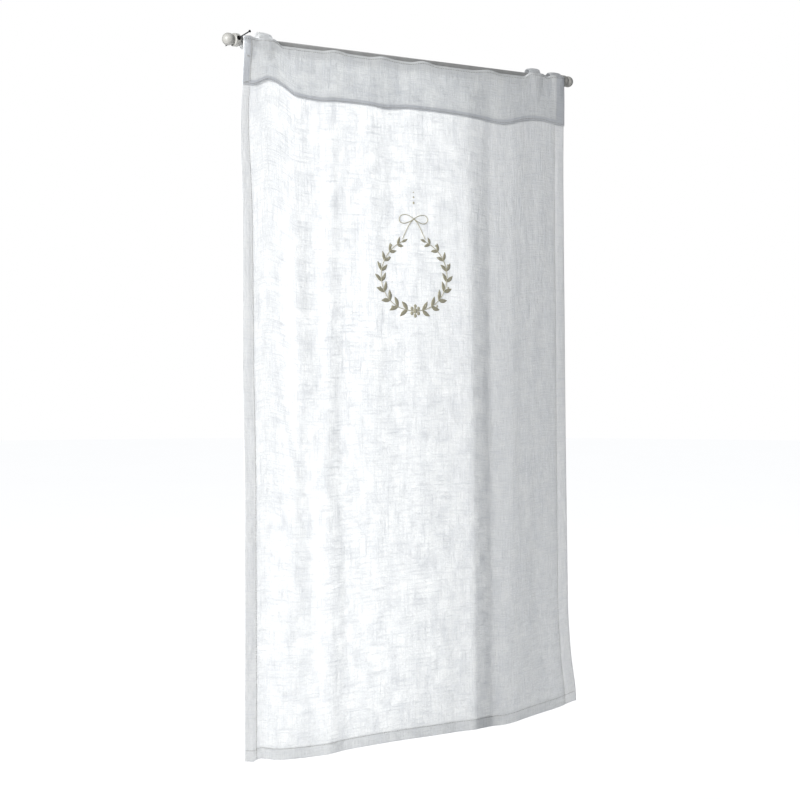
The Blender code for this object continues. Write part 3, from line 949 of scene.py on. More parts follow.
def make_loop(tab, cloth, finish):
    """A loop of doubled cloth over the rod, sewn behind the panel."""
    sides = loop_shape(tab, cloth)
    around, steps = len(sides), len(sides[0])
    shape = bmesh.new()
    bmesh.ops.create_grid(shape, x_segments=around, y_segments=steps - 1, size=0.5)
    flat = []
    for vert in shape.verts:
        i = round((vert.co.x + 0.5) * around)
        j = round((0.5 - vert.co.y) * (steps - 1))
        vert.co = sides[i % around][j]
        flat.append((tab.start + vert.co.x, j * LOOP_ROW))
    loop = add_piece(tab.piece, shape, finish, (tab.node,))
    map_flat(loop.data, flat)
    close_tube(loop.data)
    return loop


def close_tube(mesh):
    """Join a tube's long seam, fill its two ends and turn its faces outwards."""
    shape = bmesh.new()
    shape.from_mesh(mesh)
    bmesh.ops.remove_doubles(shape, verts=shape.verts, dist=1e-6)
    bmesh.ops.holes_fill(shape, edges=shape.edges, sides=0)
    bmesh.ops.recalc_face_normals(shape, faces=shape.faces)
    shape.to_mesh(mesh)
    shape.free()
    mesh.shade_smooth()


def turned(outline, steps=64):
    """Spin an outline of (along, radius) points round the X axis."""
    shape = bmesh.new()
    ring = [shape.verts.new((along, 0.0, radius)) for along, radius in outline]
    edges = [shape.edges.new(pair) for pair in zip(ring, ring[1:])]
    bmesh.ops.spin(
        shape,
        geom=ring + edges,
        cent=(0.0, 0.0, 0.0),
        axis=(1.0, 0.0, 0.0),
        angle=2 * pi,
        steps=steps,
        use_merge=True,
    )
    bmesh.ops.remove_doubles(shape, verts=shape.verts, dist=1e-6)
    bmesh.ops.recalc_face_normals(shape, faces=shape.faces)
    return shape


def rounded_corner(along, radius, rounding, first, last, steps=6):
    """Points of a quarter round between two angles."""
    return [
        (
            along + rounding * cos(first + (last - first) * k / steps),
            radius + rounding * sin(first + (last - first) * k / steps),
        )
        for k in range(steps + 1)
    ]


def finial_outline():
    """Half section of a ball end and its collar, from the ball's tip to the rod."""
    neck_angle = atan2(NECK_RADIUS, BALL_TO_COLLAR - COLLAR_ROUNDING)
    turns = [(pi - neck_angle) * k / 28 for k in range(29)]
    ball = [(-BALL_RADIUS * cos(turn), BALL_RADIUS * sin(turn)) for turn in turns]
    shoulder = COLLAR_RADIUS - COLLAR_ROUNDING
    near = BALL_TO_COLLAR + COLLAR_ROUNDING
    far = BALL_TO_COLLAR + COLLAR_LENGTH - COLLAR_ROUNDING
    collar = rounded_corner(near, shoulder, COLLAR_ROUNDING, pi, pi / 2)
    collar += rounded_corner(far, shoulder, COLLAR_ROUNDING, pi / 2, 0.0)
    return ball + [(BALL_TO_COLLAR, NECK_RADIUS)] + collar + [(far + COLLAR_ROUNDING, 0.0)]


def make_finial(name, node, collar_end, outwards, finish):
    """A ball end whose collar faces the rod at collar_end."""
    shape = turned(finial_outline())
    place = Matrix.Translation((collar_end + outwards * (BALL_TO_COLLAR + COLLAR_LENGTH), 0, 0))
    if outwards > 0:
        place @= Matrix.Rotation(pi, 4, "Z")
    bmesh.ops.transform(shape, matrix=place, verts=shape.verts)
    return add_piece(name, shape, finish, (node,))


def nail_matrix():
    """Nail axis: local Z points to the front and up."""
    turn = Matrix.Rotation(pi / 2 - NAIL_TILT, 4, "X")
    return Matrix.Translation((NAIL_ALONG, 0.0, 0.0)) @ turn


def drill_for_nail(finial, inside):
    """Cut the nail's hole through the collar, its inside given a near-black finish as painted
    shade.
    """
    shape = bmesh.new()
    bmesh.ops.create_cone(
        shape,
        cap_ends=True,
        segments=32,
        radius1=NAIL_HOLE_RADIUS,
        radius2=NAIL_HOLE_RADIUS,
        depth=COLLAR_RADIUS * 4,
        matrix=nail_matrix(),
    )
    mesh = bpy.data.meshes.new("nail hole")
    shape.to_mesh(mesh)
    shape.free()
    mesh.materials.append(inside)
    cutter = bpy.data.objects.new("nail hole", mesh)
    bpy.context.scene.collection.objects.link(cutter)
    cut = finial.modifiers.new("nail hole", "BOOLEAN")
    cut.operation = "DIFFERENCE"
    cut.solver = "EXACT"
    cut.material_mode = "TRANSFER"
    cut.object = cutter
    settle(finial)
    bpy.data.objects.remove(cutter)


def settle(thing):
    """Apply a piece's modifiers to its mesh."""
    bpy.context.view_layer.update()
    finished = thing.evaluated_get(bpy.context.evaluated_depsgraph_get())
    mesh = bpy.data.meshes.new_from_object(finished)
    thing.modifiers.clear()
    thing.data = mesh
    mesh.shade_smooth()
    mesh.set_sharp_from_angle(angle=SHARP_ANGLE)


def grow_end(shape, end, spread, distance):
    """Extrude an end face along Z and spread its rim."""
    made = bmesh.ops.extrude_face_region(shape, geom=end)
    bmesh.ops.delete(shape, geom=end, context="FACES_ONLY")
    fresh = [part for part in made["geom"] if isinstance(part, bmesh.types.BMFace)]
    rim = [part for part in made["geom"] if isinstance(part, bmesh.types.BMVert)]
    bmesh.ops.scale(shape, vec=(spread, spread, 1.0), verts=rim)
    bmesh.ops.translate(shape, vec=(0.0, 0.0, distance), verts=rim)
    end[:] = fresh


def nail_shape():
    """A round wire nail, its head in front and its point behind."""
    shape = bmesh.new()
    bmesh.ops.create_cone(
        shape,
        cap_ends=True,
        segments=24,
        radius1=NAIL_RADIUS,
        radius2=NAIL_RADIUS,
        depth=NAIL_OUT + NAIL_IN,
        matrix=Matrix.Translation((0.0, 0.0, (NAIL_OUT - NAIL_IN) / 2)),
    )
    top = [face for face in shape.faces if face.normal.z > 0.9]
    bottom = [face for face in shape.faces if face.normal.z < -0.9]
    flare, bevel, crown = NAIL_HEAD_STEPS
    grow_end(shape, top, NAIL_HEAD_RADIUS / NAIL_RADIUS * NAIL_RIM_SHARE, flare)
    grow_end(shape, top, 1 / NAIL_RIM_SHARE, bevel)
    grow_end(shape, top, 1.0, NAIL_HEAD_THICKNESS - flare - bevel - crown)
    grow_end(shape, top, NAIL_CROWN_SHARE, crown)
    grow_end(shape, bottom, NAIL_TIP_SHARE, -NAIL_POINT)
    bmesh.ops.transform(shape, matrix=nail_matrix(), verts=shape.verts)
    bmesh.ops.recalc_face_normals(shape, faces=shape.faces)
    return shape


def directed(point, ahead, out, size):
    """Matrix with Z along ahead, X out of the cloth and the three sizes given."""
    ahead = Vector(ahead).normalized()
    out = Vector(out)
    out = (out - ahead * out.dot(ahead)).normalized()
    side = ahead.cross(out)
    turn = Matrix((out, side, ahead)).transposed().to_4x4()
    return Matrix.Translation(point) @ turn @ Matrix.Diagonal((*size, 1.0))


def bead(segments, rings):
    """Mesh of a round bead of radius 1 that clones can copy."""
    shape = bmesh.new()
    bmesh.ops.create_uvsphere(shape, u_segments=segments, v_segments=rings, radius=1.0)
    mesh = bpy.data.meshes.new("bead")
    shape.to_mesh(mesh)
    shape.free()
    return mesh


def clones(bead_mesh, matrices):
    """One bmesh with a copy of the bead for each matrix."""
    shape = bmesh.new()
    for _ in matrices:
        shape.from_mesh(bead_mesh)
    size = len(bead_mesh.vertices)
    shape.verts.ensure_lookup_table()
    for k, matrix in enumerate(matrices):
        for vert in shape.verts[k * size : (k + 1) * size]:
            vert.co = matrix @ vert.co
    return shape


def seam_stitches(stations, drops, cloth, stitch, out):
    """A matrix for each stitch along a line on the cloth, given by many close places."""
    points = on_cloth(stations, drops, cloth, out)
    normals = cloth_normal(np.asarray(stations), np.asarray(drops), cloth)
    steps = np.linalg.norm(np.diff(points, axis=0), axis=1)
    run = np.concatenate([[0.0], np.cumsum(steps)])
    count = int(run[-1] / stitch.pitch)
    size = (stitch.width * 0.45, stitch.width / 2, stitch.length / 2)

    def at(table, along):
        return Vector([np.interp(along, run, table[:, axis]) for axis in range(3)])

    matrices = []
    for k in range(count):
        middle = (k + 0.5) * run[-1] / count
        start = at(points, middle - stitch.length / 2)
        end = at(points, middle + stitch.length / 2)
        matrices.append(directed((start + end) / 2, end - start, at(normals, middle), size))
    return matrices


def line(start, end, step=0.004):
    """Close places between two places on the cloth."""
    count = max(2, int(max(abs(end[0] - start[0]), abs(end[1] - start[1])) / step))
    return np.linspace(start[0], end[0], count), np.linspace(start[1], end[1], count)


def seam_shape(cloth, stitch):
    """Every seam that shows: side hems, bottom hem, and the heading's edges."""
    side = SIDE_HEM - SEAM_INSET
    low = CLOTH_DROP - BOTTOM_HEM + SEAM_INSET
    high_end, low_end = HEADING_DEPTH + SEAM_END, CLOTH_DROP - SEAM_END
    on_panel = [
        ((side, high_end), (side, low_end)),
        ((CLOTH_WIDTH - side, high_end), (CLOTH_WIDTH - side, low_end)),
        ((SEAM_END, low), (CLOTH_WIDTH - SEAM_END, low)),
    ]
    matrices = []
    for start, end in on_panel:
        stations, drops = line(start, end)
        stations = beside_left_hem(stations, drops, SIDE_HEM)
        matrices += seam_stitches(stations, drops, cloth, stitch, STITCH_LIFT)
    side, low = HEADING_SIDE_HEM - HEADING_SEAM_INSET, HEADING_DEPTH - HEADING_SEAM_INSET
    on_heading = [
        ((SEAM_END, low), (CLOTH_WIDTH - SEAM_END, low)),
        ((SEAM_END, TOP_SEAM_DROP), (CLOTH_WIDTH - SEAM_END, TOP_SEAM_DROP)),
        ((side, HEADING_SEAM_END), (side, HEADING_DEPTH - HEADING_SEAM_END)),
    ]
    for start, end in on_heading:
        stations, drops = line(start, end)
        stations = beside_left_hem(stations, drops, HEADING_SIDE_HEM)
        out = HEADING_OUT + heading_puff(stations, drops) + STITCH_LIFT
        matrices += seam_stitches(stations, drops, cloth, stitch, out)
    return clones(bead(6, 4), matrices)


def tack_shape(cloth):
    """Two short hand tacks that hold the heading's left corner."""
    matrices = []
    counted = np.arange(TACK_STITCHES)
    for drop, tilt in TACKS:
        stations = TACK_STATION + TACK_PITCH * counted
        drops = drop + TACK_STEP * (counted % 2)
        points = on_cloth(stations, drops, cloth, HEADING_OUT + TACK_LIFT)
        normals = cloth_normal(stations, drops, cloth)
        for k, (point, normal) in enumerate(zip(points, normals)):
            ahead = (cos(tilt + 0.3 * k), 0.0, sin(tilt + 0.3 * k))
            matrices.append(directed(point, ahead, normal, TACK_SIZE))
    return clones(bead(6, 4), matrices)


def oval_place(turn, stitch):
    """Place on the wreath's oval, the turn counted from its bottom."""
    station = stitch.wreath_station + stitch.wreath_half_width * sin(turn)
    drop = stitch.wreath_drop + stitch.wreath_half_height * cos(turn)
    return station, drop


def spray_turns(stitch):
    """Where the leaf pairs stand along one stem."""
    reach, pairs = LAST_PAIR_TURN - FIRST_PAIR_TURN, stitch.leaf_pairs
    return [FIRST_PAIR_TURN + reach * k / (pairs - 1) for k in range(pairs)]


Leaf = namedtuple("Leaf", "station drop heading length width")


def leaf_shape(leaves, cloth):
    """Satin-stitched leaves, pointed at both ends, lying on the cloth."""
    pattern = bead(8, 8)
    local = np.array([vert.co for vert in pattern.vertices])
    out, side, along = local.T
    taper = (1 - 0.55 * along**2) * (1.0 - 0.22 * along)
    vein = 1 - 0.45 * np.exp(-((side / 0.22) ** 2)) * (1 - along**2)
    rise = SATIN_LIFT + out * np.where(out > 0, SATIN_TOP * vein, SATIN_UNDERSIDE)
    stations, drops = [], []
    for leaf in leaves:
        ahead = (along + 1) * leaf.length / 2
        over = side * taper * leaf.width / 2
        over = over + LEAF_BEND * leaf.length * np.sin(pi * (along + 1) / 2)
        stations.append(leaf.station + ahead * sin(leaf.heading) + over * cos(leaf.heading))
        drops.append(leaf.drop - ahead * cos(leaf.heading) + over * sin(leaf.heading))
    points = on_cloth(np.array(stations), np.array(drops), cloth, np.tile(rise, (len(leaves), 1)))
    shape = clones(pattern, [Matrix()] * len(leaves))
    layer = shape.loops.layers.uv.verify()
    shape.verts.index_update()
    size = len(local)
    for vert in shape.verts:
        leaf, k = divmod(vert.index, size)
        vert.co = points[leaf, k]
        for corner in vert.link_loops:
            place = ((along[k] + 1) * leaves[leaf].length / 2, side[k] * leaves[leaf].width / 2)
            corner[layer].uv = place
    return shape


Knot = namedtuple("Knot", "station drop radius height")


def knot_shape(knots, cloth):
    """Small round knots of thread on the cloth."""
    stations = np.array([knot.station for knot in knots])
    drops = np.array([knot.drop for knot in knots])
    heights = np.array([knot.height for knot in knots])
    points = on_cloth(stations, drops, cloth, heights * KNOT_LIFT_SHARE)
    normals = cloth_normal(stations, drops, cloth)
    return clones(
        bead(10, 6),
        [
            directed(point, (0.0, 0.0, 1.0), normal, (knot.height, knot.radius, knot.radius))
            for knot, point, normal in zip(knots, points, normals)
        ],
    )


def leaf_heading(turn, stitch, side):
    """Direction of the stem at a turn, as an angle from straight up."""
    run = side * stitch.wreath_half_width * cos(turn)
    climb = stitch.wreath_half_height * sin(turn)
    return atan2(run, climb)


def wreath_leaves(stitch):
    """Regular pairs of leaves along the two stems of the wreath, and a leaf at each tip."""
    leaves = []
    turns = spray_turns(stitch)
    for side in (-1, 1):
        for k, turn in enumerate(turns):
            ahead = leaf_heading(turn, stitch, side)
            size = 1.0 - LEAF_SHRINKING * (k / (len(turns) - 1)) ** 2
            sizes = (stitch.leaf_length * size, stitch.leaf_width * size)
            for lean in (-LEAF_LEAN, LEAF_LEAN):
                leaves.append(Leaf(*oval_place(side * turn, stitch), ahead + lean, *sizes))
        tip = leaf_heading(STEM_TIP_TURN, stitch, side)
        leaves.append(Leaf(*oval_place(side * STEM_TIP_TURN, stitch), tip, *TIP_LEAF_SIZE))
    return leaves


def wreath_knots(stitch):
    """Berries between the leaf pairs, a cluster at the bottom and three dots above."""
    knots = []
    turns = spray_turns(stitch)
    for side in (-1, 1):
        for k, (first, second) in enumerate(zip(turns, turns[1:])):
            turn = (first + second) / 2
            away = BERRY_SIDES[k % 2]
            station = stitch.wreath_station + side * away * stitch.wreath_half_width * sin(turn)
            drop = stitch.wreath_drop + away * stitch.wreath_half_height * cos(turn)
            knots.append(Knot(station, drop, *BERRY))
    middle, low = oval_place(0.0, stitch)
    knots.append(Knot(middle, low, *FLOWER_MIDDLE))
    for k in range(FLOWER_PETALS):
        turn = 2 * pi * k / FLOWER_PETALS
        place = (middle + FLOWER_RADIUS * sin(turn), low + FLOWER_RADIUS * cos(turn))
        knots.append(Knot(*place, *FLOWER_PETAL))
    for drop, radius in DOTS:
        knots.append(Knot(stitch.wreath_station, drop, radius, DOT_HEIGHT))
    return knots


def stem_points(places, cloth):
    """Points of a stitched line through places on the cloth."""
    places = np.array(places)
    return on_cloth(places[:, 0], places[:, 1], cloth, STEM_LIFT)


def bow_lines(cloth, stitch):
    """Two stems, and a bow with two loops and two tails."""
    lines = []
    for side in (-1, 1):
        turns = np.linspace(0.0, STEM_TIP_TURN, 90)
        lines.append(stem_points([oval_place(side * turn, stitch) for turn in turns], cloth))
    middle = stitch.wreath_station
    for side in (-1, 1):
        loop = []
        for turn in np.linspace(0.0, 2 * pi, 40):
            reach = BOW_LOOP_REACH * (1 - cos(turn))
            rise = BOW_LOOP_HEIGHT * sin(turn) * sin(turn / 2)
            loop.append((middle + side * reach, BOW_DROP - rise))
        lines.append(stem_points(loop, cloth))
        tail = []
        for t in np.linspace(0.0, 1.0, 24):
            over = BOW_TAIL_SPREAD * t**1.25
            fall = BOW_DROP + BOW_TAIL_DROP * t - BOW_TAIL_ARCH * sin(pi * t)
            tail.append((middle + side * over, fall))
        lines.append(stem_points(tail, cloth))
    return lines


def stitched_lines(name, lines, radius, finish):
    """Round threads along lines on the cloth, as one mesh."""
    curve = bpy.data.curves.new(name, "CURVE")
    curve.dimensions = "3D"
    curve.bevel_depth = radius
    curve.bevel_resolution = 2
    curve.use_fill_caps = True
    for points in lines:
        spline = curve.splines.new("POLY")
        spline.points.add(len(points) - 1)
        for point, place in zip(spline.points, points):
            point.co = (*place, 1.0)
    drawn = bpy.data.objects.new(name + " line", curve)
    bpy.context.scene.collection.objects.link(drawn)
    bpy.context.view_layer.update()
    depsgraph = bpy.context.evaluated_depsgraph_get()
    mesh = bpy.data.meshes.new_from_object(drawn.evaluated_get(depsgraph))
    bpy.data.objects.remove(drawn)
    shape = bmesh.new()
    shape.from_mesh(mesh)
    bmesh.ops.recalc_face_normals(shape, faces=shape.faces)
    return add_piece(name, shape, finish)


class Wiring:
    """Adds nodes to a tree and links their sockets."""

    def __init__(self, tree):
        self.tree = tree

    def add(self, kind, inputs=None, **settings):
        """A node with its settings, and values or links for its inputs."""
        node = self.tree.nodes.new(kind)
        for name, value in settings.items():
            setattr(node, name, value)
        for socket, value in (inputs or {}).items():
            self.feed(node.inputs[socket], value)
        return node

    def feed(self, socket, value):
        """Link a socket to another, or set its value."""
        if isinstance(value, bpy.types.NodeSocket):
            self.tree.links.new(value, socket)
        else:
            socket.default_value = value

    def noise(self, vector, scale, detail=2.0, rough=0.5):
        """Noise with so many patches to a metre."""
        node = self.add(
            "ShaderNodeTexNoise",
            {"Vector": vector, "Scale": scale, "Detail": detail, "Roughness": rough},
        )
        return node.outputs["Fac"]

    def stretched(self, vector, scale, shift=(0.0, 0.0, 0.0)):
        """The vector with its own scale on each axis."""
        node = self.add("ShaderNodeMapping", {"Vector": vector, "Scale": scale, "Location": shift})
        return node.outputs["Vector"]

    def ranged(self, value, low, high, to_low=0.0, to_high=1.0):
        """The value's range from low to high spread over another range."""
        node = self.add(
            "ShaderNodeMapRange",
            {
                "Value": value,
                "From Min": low,
                "From Max": high,
                "To Min": to_low,
                "To Max": to_high,
            },
        )
        return node.outputs["Result"]

    def math(self, operation, first, second=0.0):
        """One sum of two values."""
        node = self.add("ShaderNodeMath", {0: first, 1: second}, operation=operation)
        return node.outputs[0]

    def blend(self, share, first, second):
        """A colour between two colours."""
        node = self.add("ShaderNodeMix", {0: share, 6: first, 7: second}, data_type="RGBA")
        return node.outputs[2]

    def bump(self, height, strength, distance):
        """A normal from a height."""
        node = self.add(
            "ShaderNodeBump", {"Height": height, "Strength": strength, "Distance": distance}
        )
        return node.outputs["Normal"]


def new_material(name):
    """A material with an empty tree and its output node."""
    made = bpy.data.materials.new(name)
    made.use_nodes = True
    made.node_tree.nodes.clear()
    wiring = Wiring(made.node_tree)
    return made, wiring, wiring.add("ShaderNodeOutputMaterial")


def new_group(name, inputs, outputs):
    """A shader node group with named float, vector or colour sockets."""
    group = bpy.data.node_groups.new(name, "ShaderNodeTree")
    for socket, kind in inputs:
        group.interface.new_socket(socket, in_out="INPUT", socket_type="NodeSocket" + kind)
    for socket, kind in outputs:
        group.interface.new_socket(socket, in_out="OUTPUT", socket_type="NodeSocket" + kind)
    wiring = Wiring(group)
    return group, wiring, wiring.add("NodeGroupInput"), wiring.add("NodeGroupOutput")


def rgba(colour):
    """A colour with its alpha."""
    return (*colour, 1.0)


def weave_group():
    """Plain linen weave with its slubs and the gaps between threads, on a flat map."""
    group, w, taken, given = new_group(
        "linen weave",
        [("Flat", "Vector"), ("Threads", "Float")],
        [
            ("Height", "Float"),
            ("Slubs", "Float"),
            ("Gaps", "Float"),
            ("Clouds", "Float"),
            ("Crumple", "Float"),
        ],
    )
    flat = taken.outputs["Flat"]
    threads = taken.outputs["Threads"]
    scaled = w.add("ShaderNodeVectorMath", {0: flat, "Scale": threads}, operation="SCALE")
    scaled = scaled.outputs["Vector"]
    warp = w.noise(w.stretched(scaled, (1.0, 0.035, 1.0)), 1.0, 2.0)
    weft = w.noise(w.stretched(scaled, (0.035, 1.0, 1.0), (3.7, 1.3, 0.0)), 1.0, 2.0)
    warp_slub = w.noise(w.stretched(flat, (420.0, 17.0, 1.0)), 1.0, 3.0, 0.6)
    weft_slub = w.noise(w.stretched(flat, (24.0, 420.0, 1.0), (5.1, 8.2, 0.0)), 1.0, 3.0, 0.6)
    clouds = w.noise(w.stretched(flat, (46.0, 30.0, 1.0)), 1.0, 4.0, 0.62)
    warp_slub = w.ranged(warp_slub, 0.50, 0.74)
    weft_slub = w.ranged(weft_slub, 0.48, 0.72)
    slubs = w.math("MAXIMUM", warp_slub, weft_slub)
    height = w.math("ADD", warp, weft)
    height = w.math("ADD", height, w.math("MULTIPLY", slubs, 0.9))
    thin = w.math("MULTIPLY", w.ranged(warp, 0.62, 0.36), w.ranged(weft, 0.62, 0.36))
    gaps = w.math("MULTIPLY", thin, w.math("SUBTRACT", 1.0, slubs))
    w.feed(given.inputs["Height"], height)
    w.feed(given.inputs["Slubs"], slubs)
    w.feed(given.inputs["Gaps"], gaps)
    w.feed(given.inputs["Clouds"], w.ranged(clouds, 0.30, 0.70))
    upright = w.noise(w.stretched(flat, (110.0, 42.0, 1.0), (2.2, 6.1, 0.0)), 1.0, 3.0, 0.55)
    level = w.noise(w.stretched(flat, (48.0, 130.0, 1.0), (7.4, 2.9, 0.0)), 1.0, 3.0, 0.60)
    down = w.add("ShaderNodeSeparateXYZ", {0: flat}).outputs["Y"]
    upright = w.math("MULTIPLY", upright, 0.8)
    level = w.math("MULTIPLY", level, w.ranged(down, 0.30, 0.85, 0.30, 1.25))
    w.feed(given.inputs["Crumple"], w.math("ADD", upright, level))
    return group


def linen_material(name, finish, weave, light_through, sheer, painted_layer_shade):
    """Bleached linen that lets light through, with a little open air between threads."""
    made, w, output = new_material(name)
    flat = w.add("ShaderNodeUVMap", uv_map="flat").outputs["UV"]
    cloth = w.add("ShaderNodeGroup", node_tree=weave)
    w.feed(cloth.inputs["Flat"], flat)
    w.feed(cloth.inputs["Threads"], THREADS_PER_METRE)
    slubs, clouds = cloth.outputs["Slubs"], cloth.outputs["Clouds"]
    shade = w.math("MULTIPLY", slubs, 0.42)
    shade = w.math("ADD", shade, w.math("MULTIPLY", clouds, 0.34))
    # Painted shade: greys the colour of the heading's hems to stand for less light coming through
    # their many layers
    shade = w.math("ADD", shade, painted_layer_shade)
    colour = w.blend(shade, rgba(finish.linen), rgba(finish.linen_shade))
    height = w.math("MULTIPLY", cloth.outputs["Height"], 0.00015)
    height = w.math("ADD", height, w.math("MULTIPLY", cloth.outputs["Crumple"], 0.0008))
    normal = w.bump(height, 1.0, 1.0)
    surface = w.add(
        "ShaderNodeBsdfPrincipled",
        {"Base Color": colour, "Normal": normal, "Roughness": 0.88},
    )
    through = w.add("ShaderNodeBsdfTranslucent", {"Color": colour, "Normal": normal})
    dense = w.math("ADD", w.math("MULTIPLY", slubs, 0.16), w.math("MULTIPLY", clouds, 0.10))
    share = w.math("SUBTRACT", light_through, dense)
    body = w.add("ShaderNodeMixShader", {0: share, 1: surface.outputs[0], 2: through.outputs[0]})
    air = w.add("ShaderNodeBsdfTransparent")
    open_share = w.math("MULTIPLY", cloth.outputs["Gaps"], sheer)
    mixed = w.add("ShaderNodeMixShader", {0: open_share, 1: body.outputs[0], 2: air.outputs[0]})
    w.feed(output.inputs["Surface"], mixed.outputs[0])
    return made


def thread_material(name, dark, light, satin):
    """Twisted thread; satin gives the pitch of its lines on the flat map, if it has one."""
    made, w, output = new_material(name)
    place = w.add("ShaderNodeTexCoord").outputs["Object"]
    speckle = w.noise(place, 900.0, 3.0, 0.6)
    if satin:
        flat = w.add("ShaderNodeUVMap", uv_map="UVMap").outputs["UV"]
        lines = w.add(
            "ShaderNodeTexWave",
            {"Vector": flat, "Scale": 1 / satin / (2 * pi), "Distortion": 1.2, "Detail": 1.0},
            wave_type="BANDS",
            bands_direction="DIAGONAL",
        ).outputs["Fac"]
    else:
        lines = w.noise(w.stretched(place, (1500.0, 1500.0, 1500.0)), 1.0, 1.0)
    height = w.math("ADD", lines, w.math("MULTIPLY", speckle, 0.5))
    colour = w.blend(w.ranged(height, 0.35, 1.2), rgba(dark), rgba(light))
    surface = w.add(
        "ShaderNodeBsdfPrincipled",
        {
            "Base Color": colour,
            "Roughness": w.ranged(speckle, 0.2, 0.8, 0.52, 0.72),
            "Normal": w.bump(height, 0.5, 0.0002),
            "Sheen Weight": 0.25,
        },
    )
    w.feed(output.inputs["Surface"], surface.outputs[0])
    return made


def wear_group():
    """Old finish: worn spots, dirt and the streaks of a brush or a die along X."""
    group, w, taken, given = new_group(
        "old finish",
        [("Place", "Vector"), ("Worn", "Float")],
        [("Spots", "Float"), ("Dirt", "Float"), ("Streaks", "Float")],
    )
    place = taken.outputs["Place"]
    spots = w.noise(place, 260.0, 5.0, 0.65)
    spots = w.math("ADD", spots, taken.outputs["Worn"])
    w.feed(given.inputs["Spots"], w.ranged(spots, 0.66, 0.70))
    w.feed(given.inputs["Dirt"], w.ranged(w.noise(place, 75.0, 4.0, 0.6), 0.42, 0.72))
    streaks = w.noise(w.stretched(place, (30.0, 700.0, 700.0)), 1.0, 3.0, 0.6)
    w.feed(given.inputs["Streaks"], streaks)
    return group


def worn_group_node(w, wear, worn):
    """The old finish placed in a material."""
    place = w.add("ShaderNodeTexCoord").outputs["Object"]
    old = w.add("ShaderNodeGroup", node_tree=wear)
    w.feed(old.inputs["Place"], place)
    w.feed(old.inputs["Worn"], worn)
    return old.outputs


def paint_material(name, paint, under, wear):
    """Old paint on wood, dirty and chipped in places."""
    made, w, output = new_material(name)
    old = worn_group_node(w, wear, -0.015)
    dirty = tuple(channel * DIRT_SHARE for channel in paint)
    colour = w.blend(w.math("MULTIPLY", old["Dirt"], 0.55), rgba(paint), rgba(dirty))
    colour = w.blend(old["Spots"], colour, rgba(under))
    rough = w.ranged(old["Streaks"], 0.2, 0.8, 0.34, 0.52)
    rough = w.math("ADD", rough, w.math("MULTIPLY", old["Spots"], 0.3))
    height = w.math("SUBTRACT", w.math("MULTIPLY", old["Streaks"], 0.5), old["Spots"])
    surface = w.add(
        "ShaderNodeBsdfPrincipled",
        {"Base Color": colour, "Roughness": rough, "Normal": w.bump(height, 0.45, 0.0003)},
    )
    w.feed(output.inputs["Surface"], surface.outputs[0])
    return made


def steel_material(finish, wear):
    """Dark drawn wire with a few rusty spots."""
    made, w, output = new_material("dark wire")
    old = worn_group_node(w, wear, 0.03)
    colour = w.blend(old["Spots"], rgba(finish.steel), rgba(RUST))
    surface = w.add(
        "ShaderNodeBsdfPrincipled",
        {
            "Base Color": colour,
            "Metallic": w.ranged(old["Spots"], 0.0, 1.0, 0.9, 0.1),
            "Roughness": w.ranged(old["Streaks"], 0.2, 0.8, 0.30, 0.55),
            "Normal": w.bump(w.math("ADD", old["Streaks"], old["Spots"]), 0.3, 0.0001),
        },
    )
    w.feed(output.inputs["Surface"], surface.outputs[0])
    return made


def floor_material(finish):
    """Pale matte studio floor that is almost as bright as the studio."""
    made, w, output = new_material("pale floor")
    place = w.add("ShaderNodeTexCoord").outputs["Object"]
    mottle = w.ranged(w.noise(place, 2.5, 4.0), 0.3, 0.7, 0.0, 0.35)
    darker = tuple(channel * 0.98 for channel in finish.floor)
    colour = w.blend(mottle, rgba(finish.floor), rgba(darker))
    looks = w.add("ShaderNodeLightPath").outputs["Is Camera Ray"]
    surface = w.add(
        "ShaderNodeBsdfPrincipled",
        {
            "Base Color": colour,
            "Roughness": 0.9,
            "Emission Color": colour,
            "Emission Strength": w.math("MULTIPLY", looks, 0.80),
            "Normal": w.bump(w.noise(place, 60.0, 3.0), 0.05, 0.002),
        },
    )
    w.feed(output.inputs["Surface"], surface.outputs[0])
    return made


def shared(name, make, *given):
    """A material or node group by name, made the first time."""
    store = bpy.data.node_groups if name in ("linen weave", "old finish") else bpy.data.materials
    return store.get(name) or make(*given)


def linen(name, finish):
    """One of the linens, all of one weave."""
    weave = shared("linen weave", weave_group)
    return shared(name, linen_material, name, finish, weave, *LINENS[name])


class CURTAIN_OT_panel(bpy.types.Operator):
    """Make the hanging cloth with its turned hems"""

    bl_idname = "curtain.panel"
    bl_label = "Cloth"

    def execute(self, context):
        cloth, finish = context.scene.curtain_cloth, context.scene.curtain_finish
        marks = [SIDE_HEM - HEM_MARK, SIDE_HEM + HEM_MARK]
        marks += [CLOTH_WIDTH - mark for mark in marks]
        hem = CLOTH_DROP - BOTTOM_HEM
        cut = Cut(
            CLOTH_WIDTH,
            CLOTH_DROP,
            SIDE_HEM,
            TOP_TURNING,
            BOTTOM_HEM,
            cloth.layer_pitch,
            0.0,
            marks,
            [HEADING_DEPTH, hem - HEM_MARK, hem + HEM_MARK],
        )
        made = (linen("single linen", finish), linen("hemmed linen", finish))
        panel = hemmed_sheet("cloth_panel", cut, cloth, made, ("panel",))
        return {"FINISHED"}


class CURTAIN_OT_heading(bpy.types.Operator):
    """Make the deep band along the top"""

    bl_idname = "curtain.heading"
    bl_label = "Heading"

    def execute(self, context):
        cloth, finish = context.scene.curtain_cloth, context.scene.curtain_finish
        cut = Cut(
            CLOTH_WIDTH,
            HEADING_DEPTH,
            HEADING_SIDE_HEM,
            0.0,
            HEADING_LOWER_HEM,
            HEADING_PITCH,
            HEADING_OUT,
            [],
            [HEADING_DEPTH - HEADING_LOWER_HEM],
        )
        made = (linen("heading linen", finish), linen("heading hem linen", finish))
        band = hemmed_sheet(
            "cloth_heading", cut, cloth, made, ("heading",), low_hem=True, stand_off=heading_puff
        )
        return {"FINISHED"}


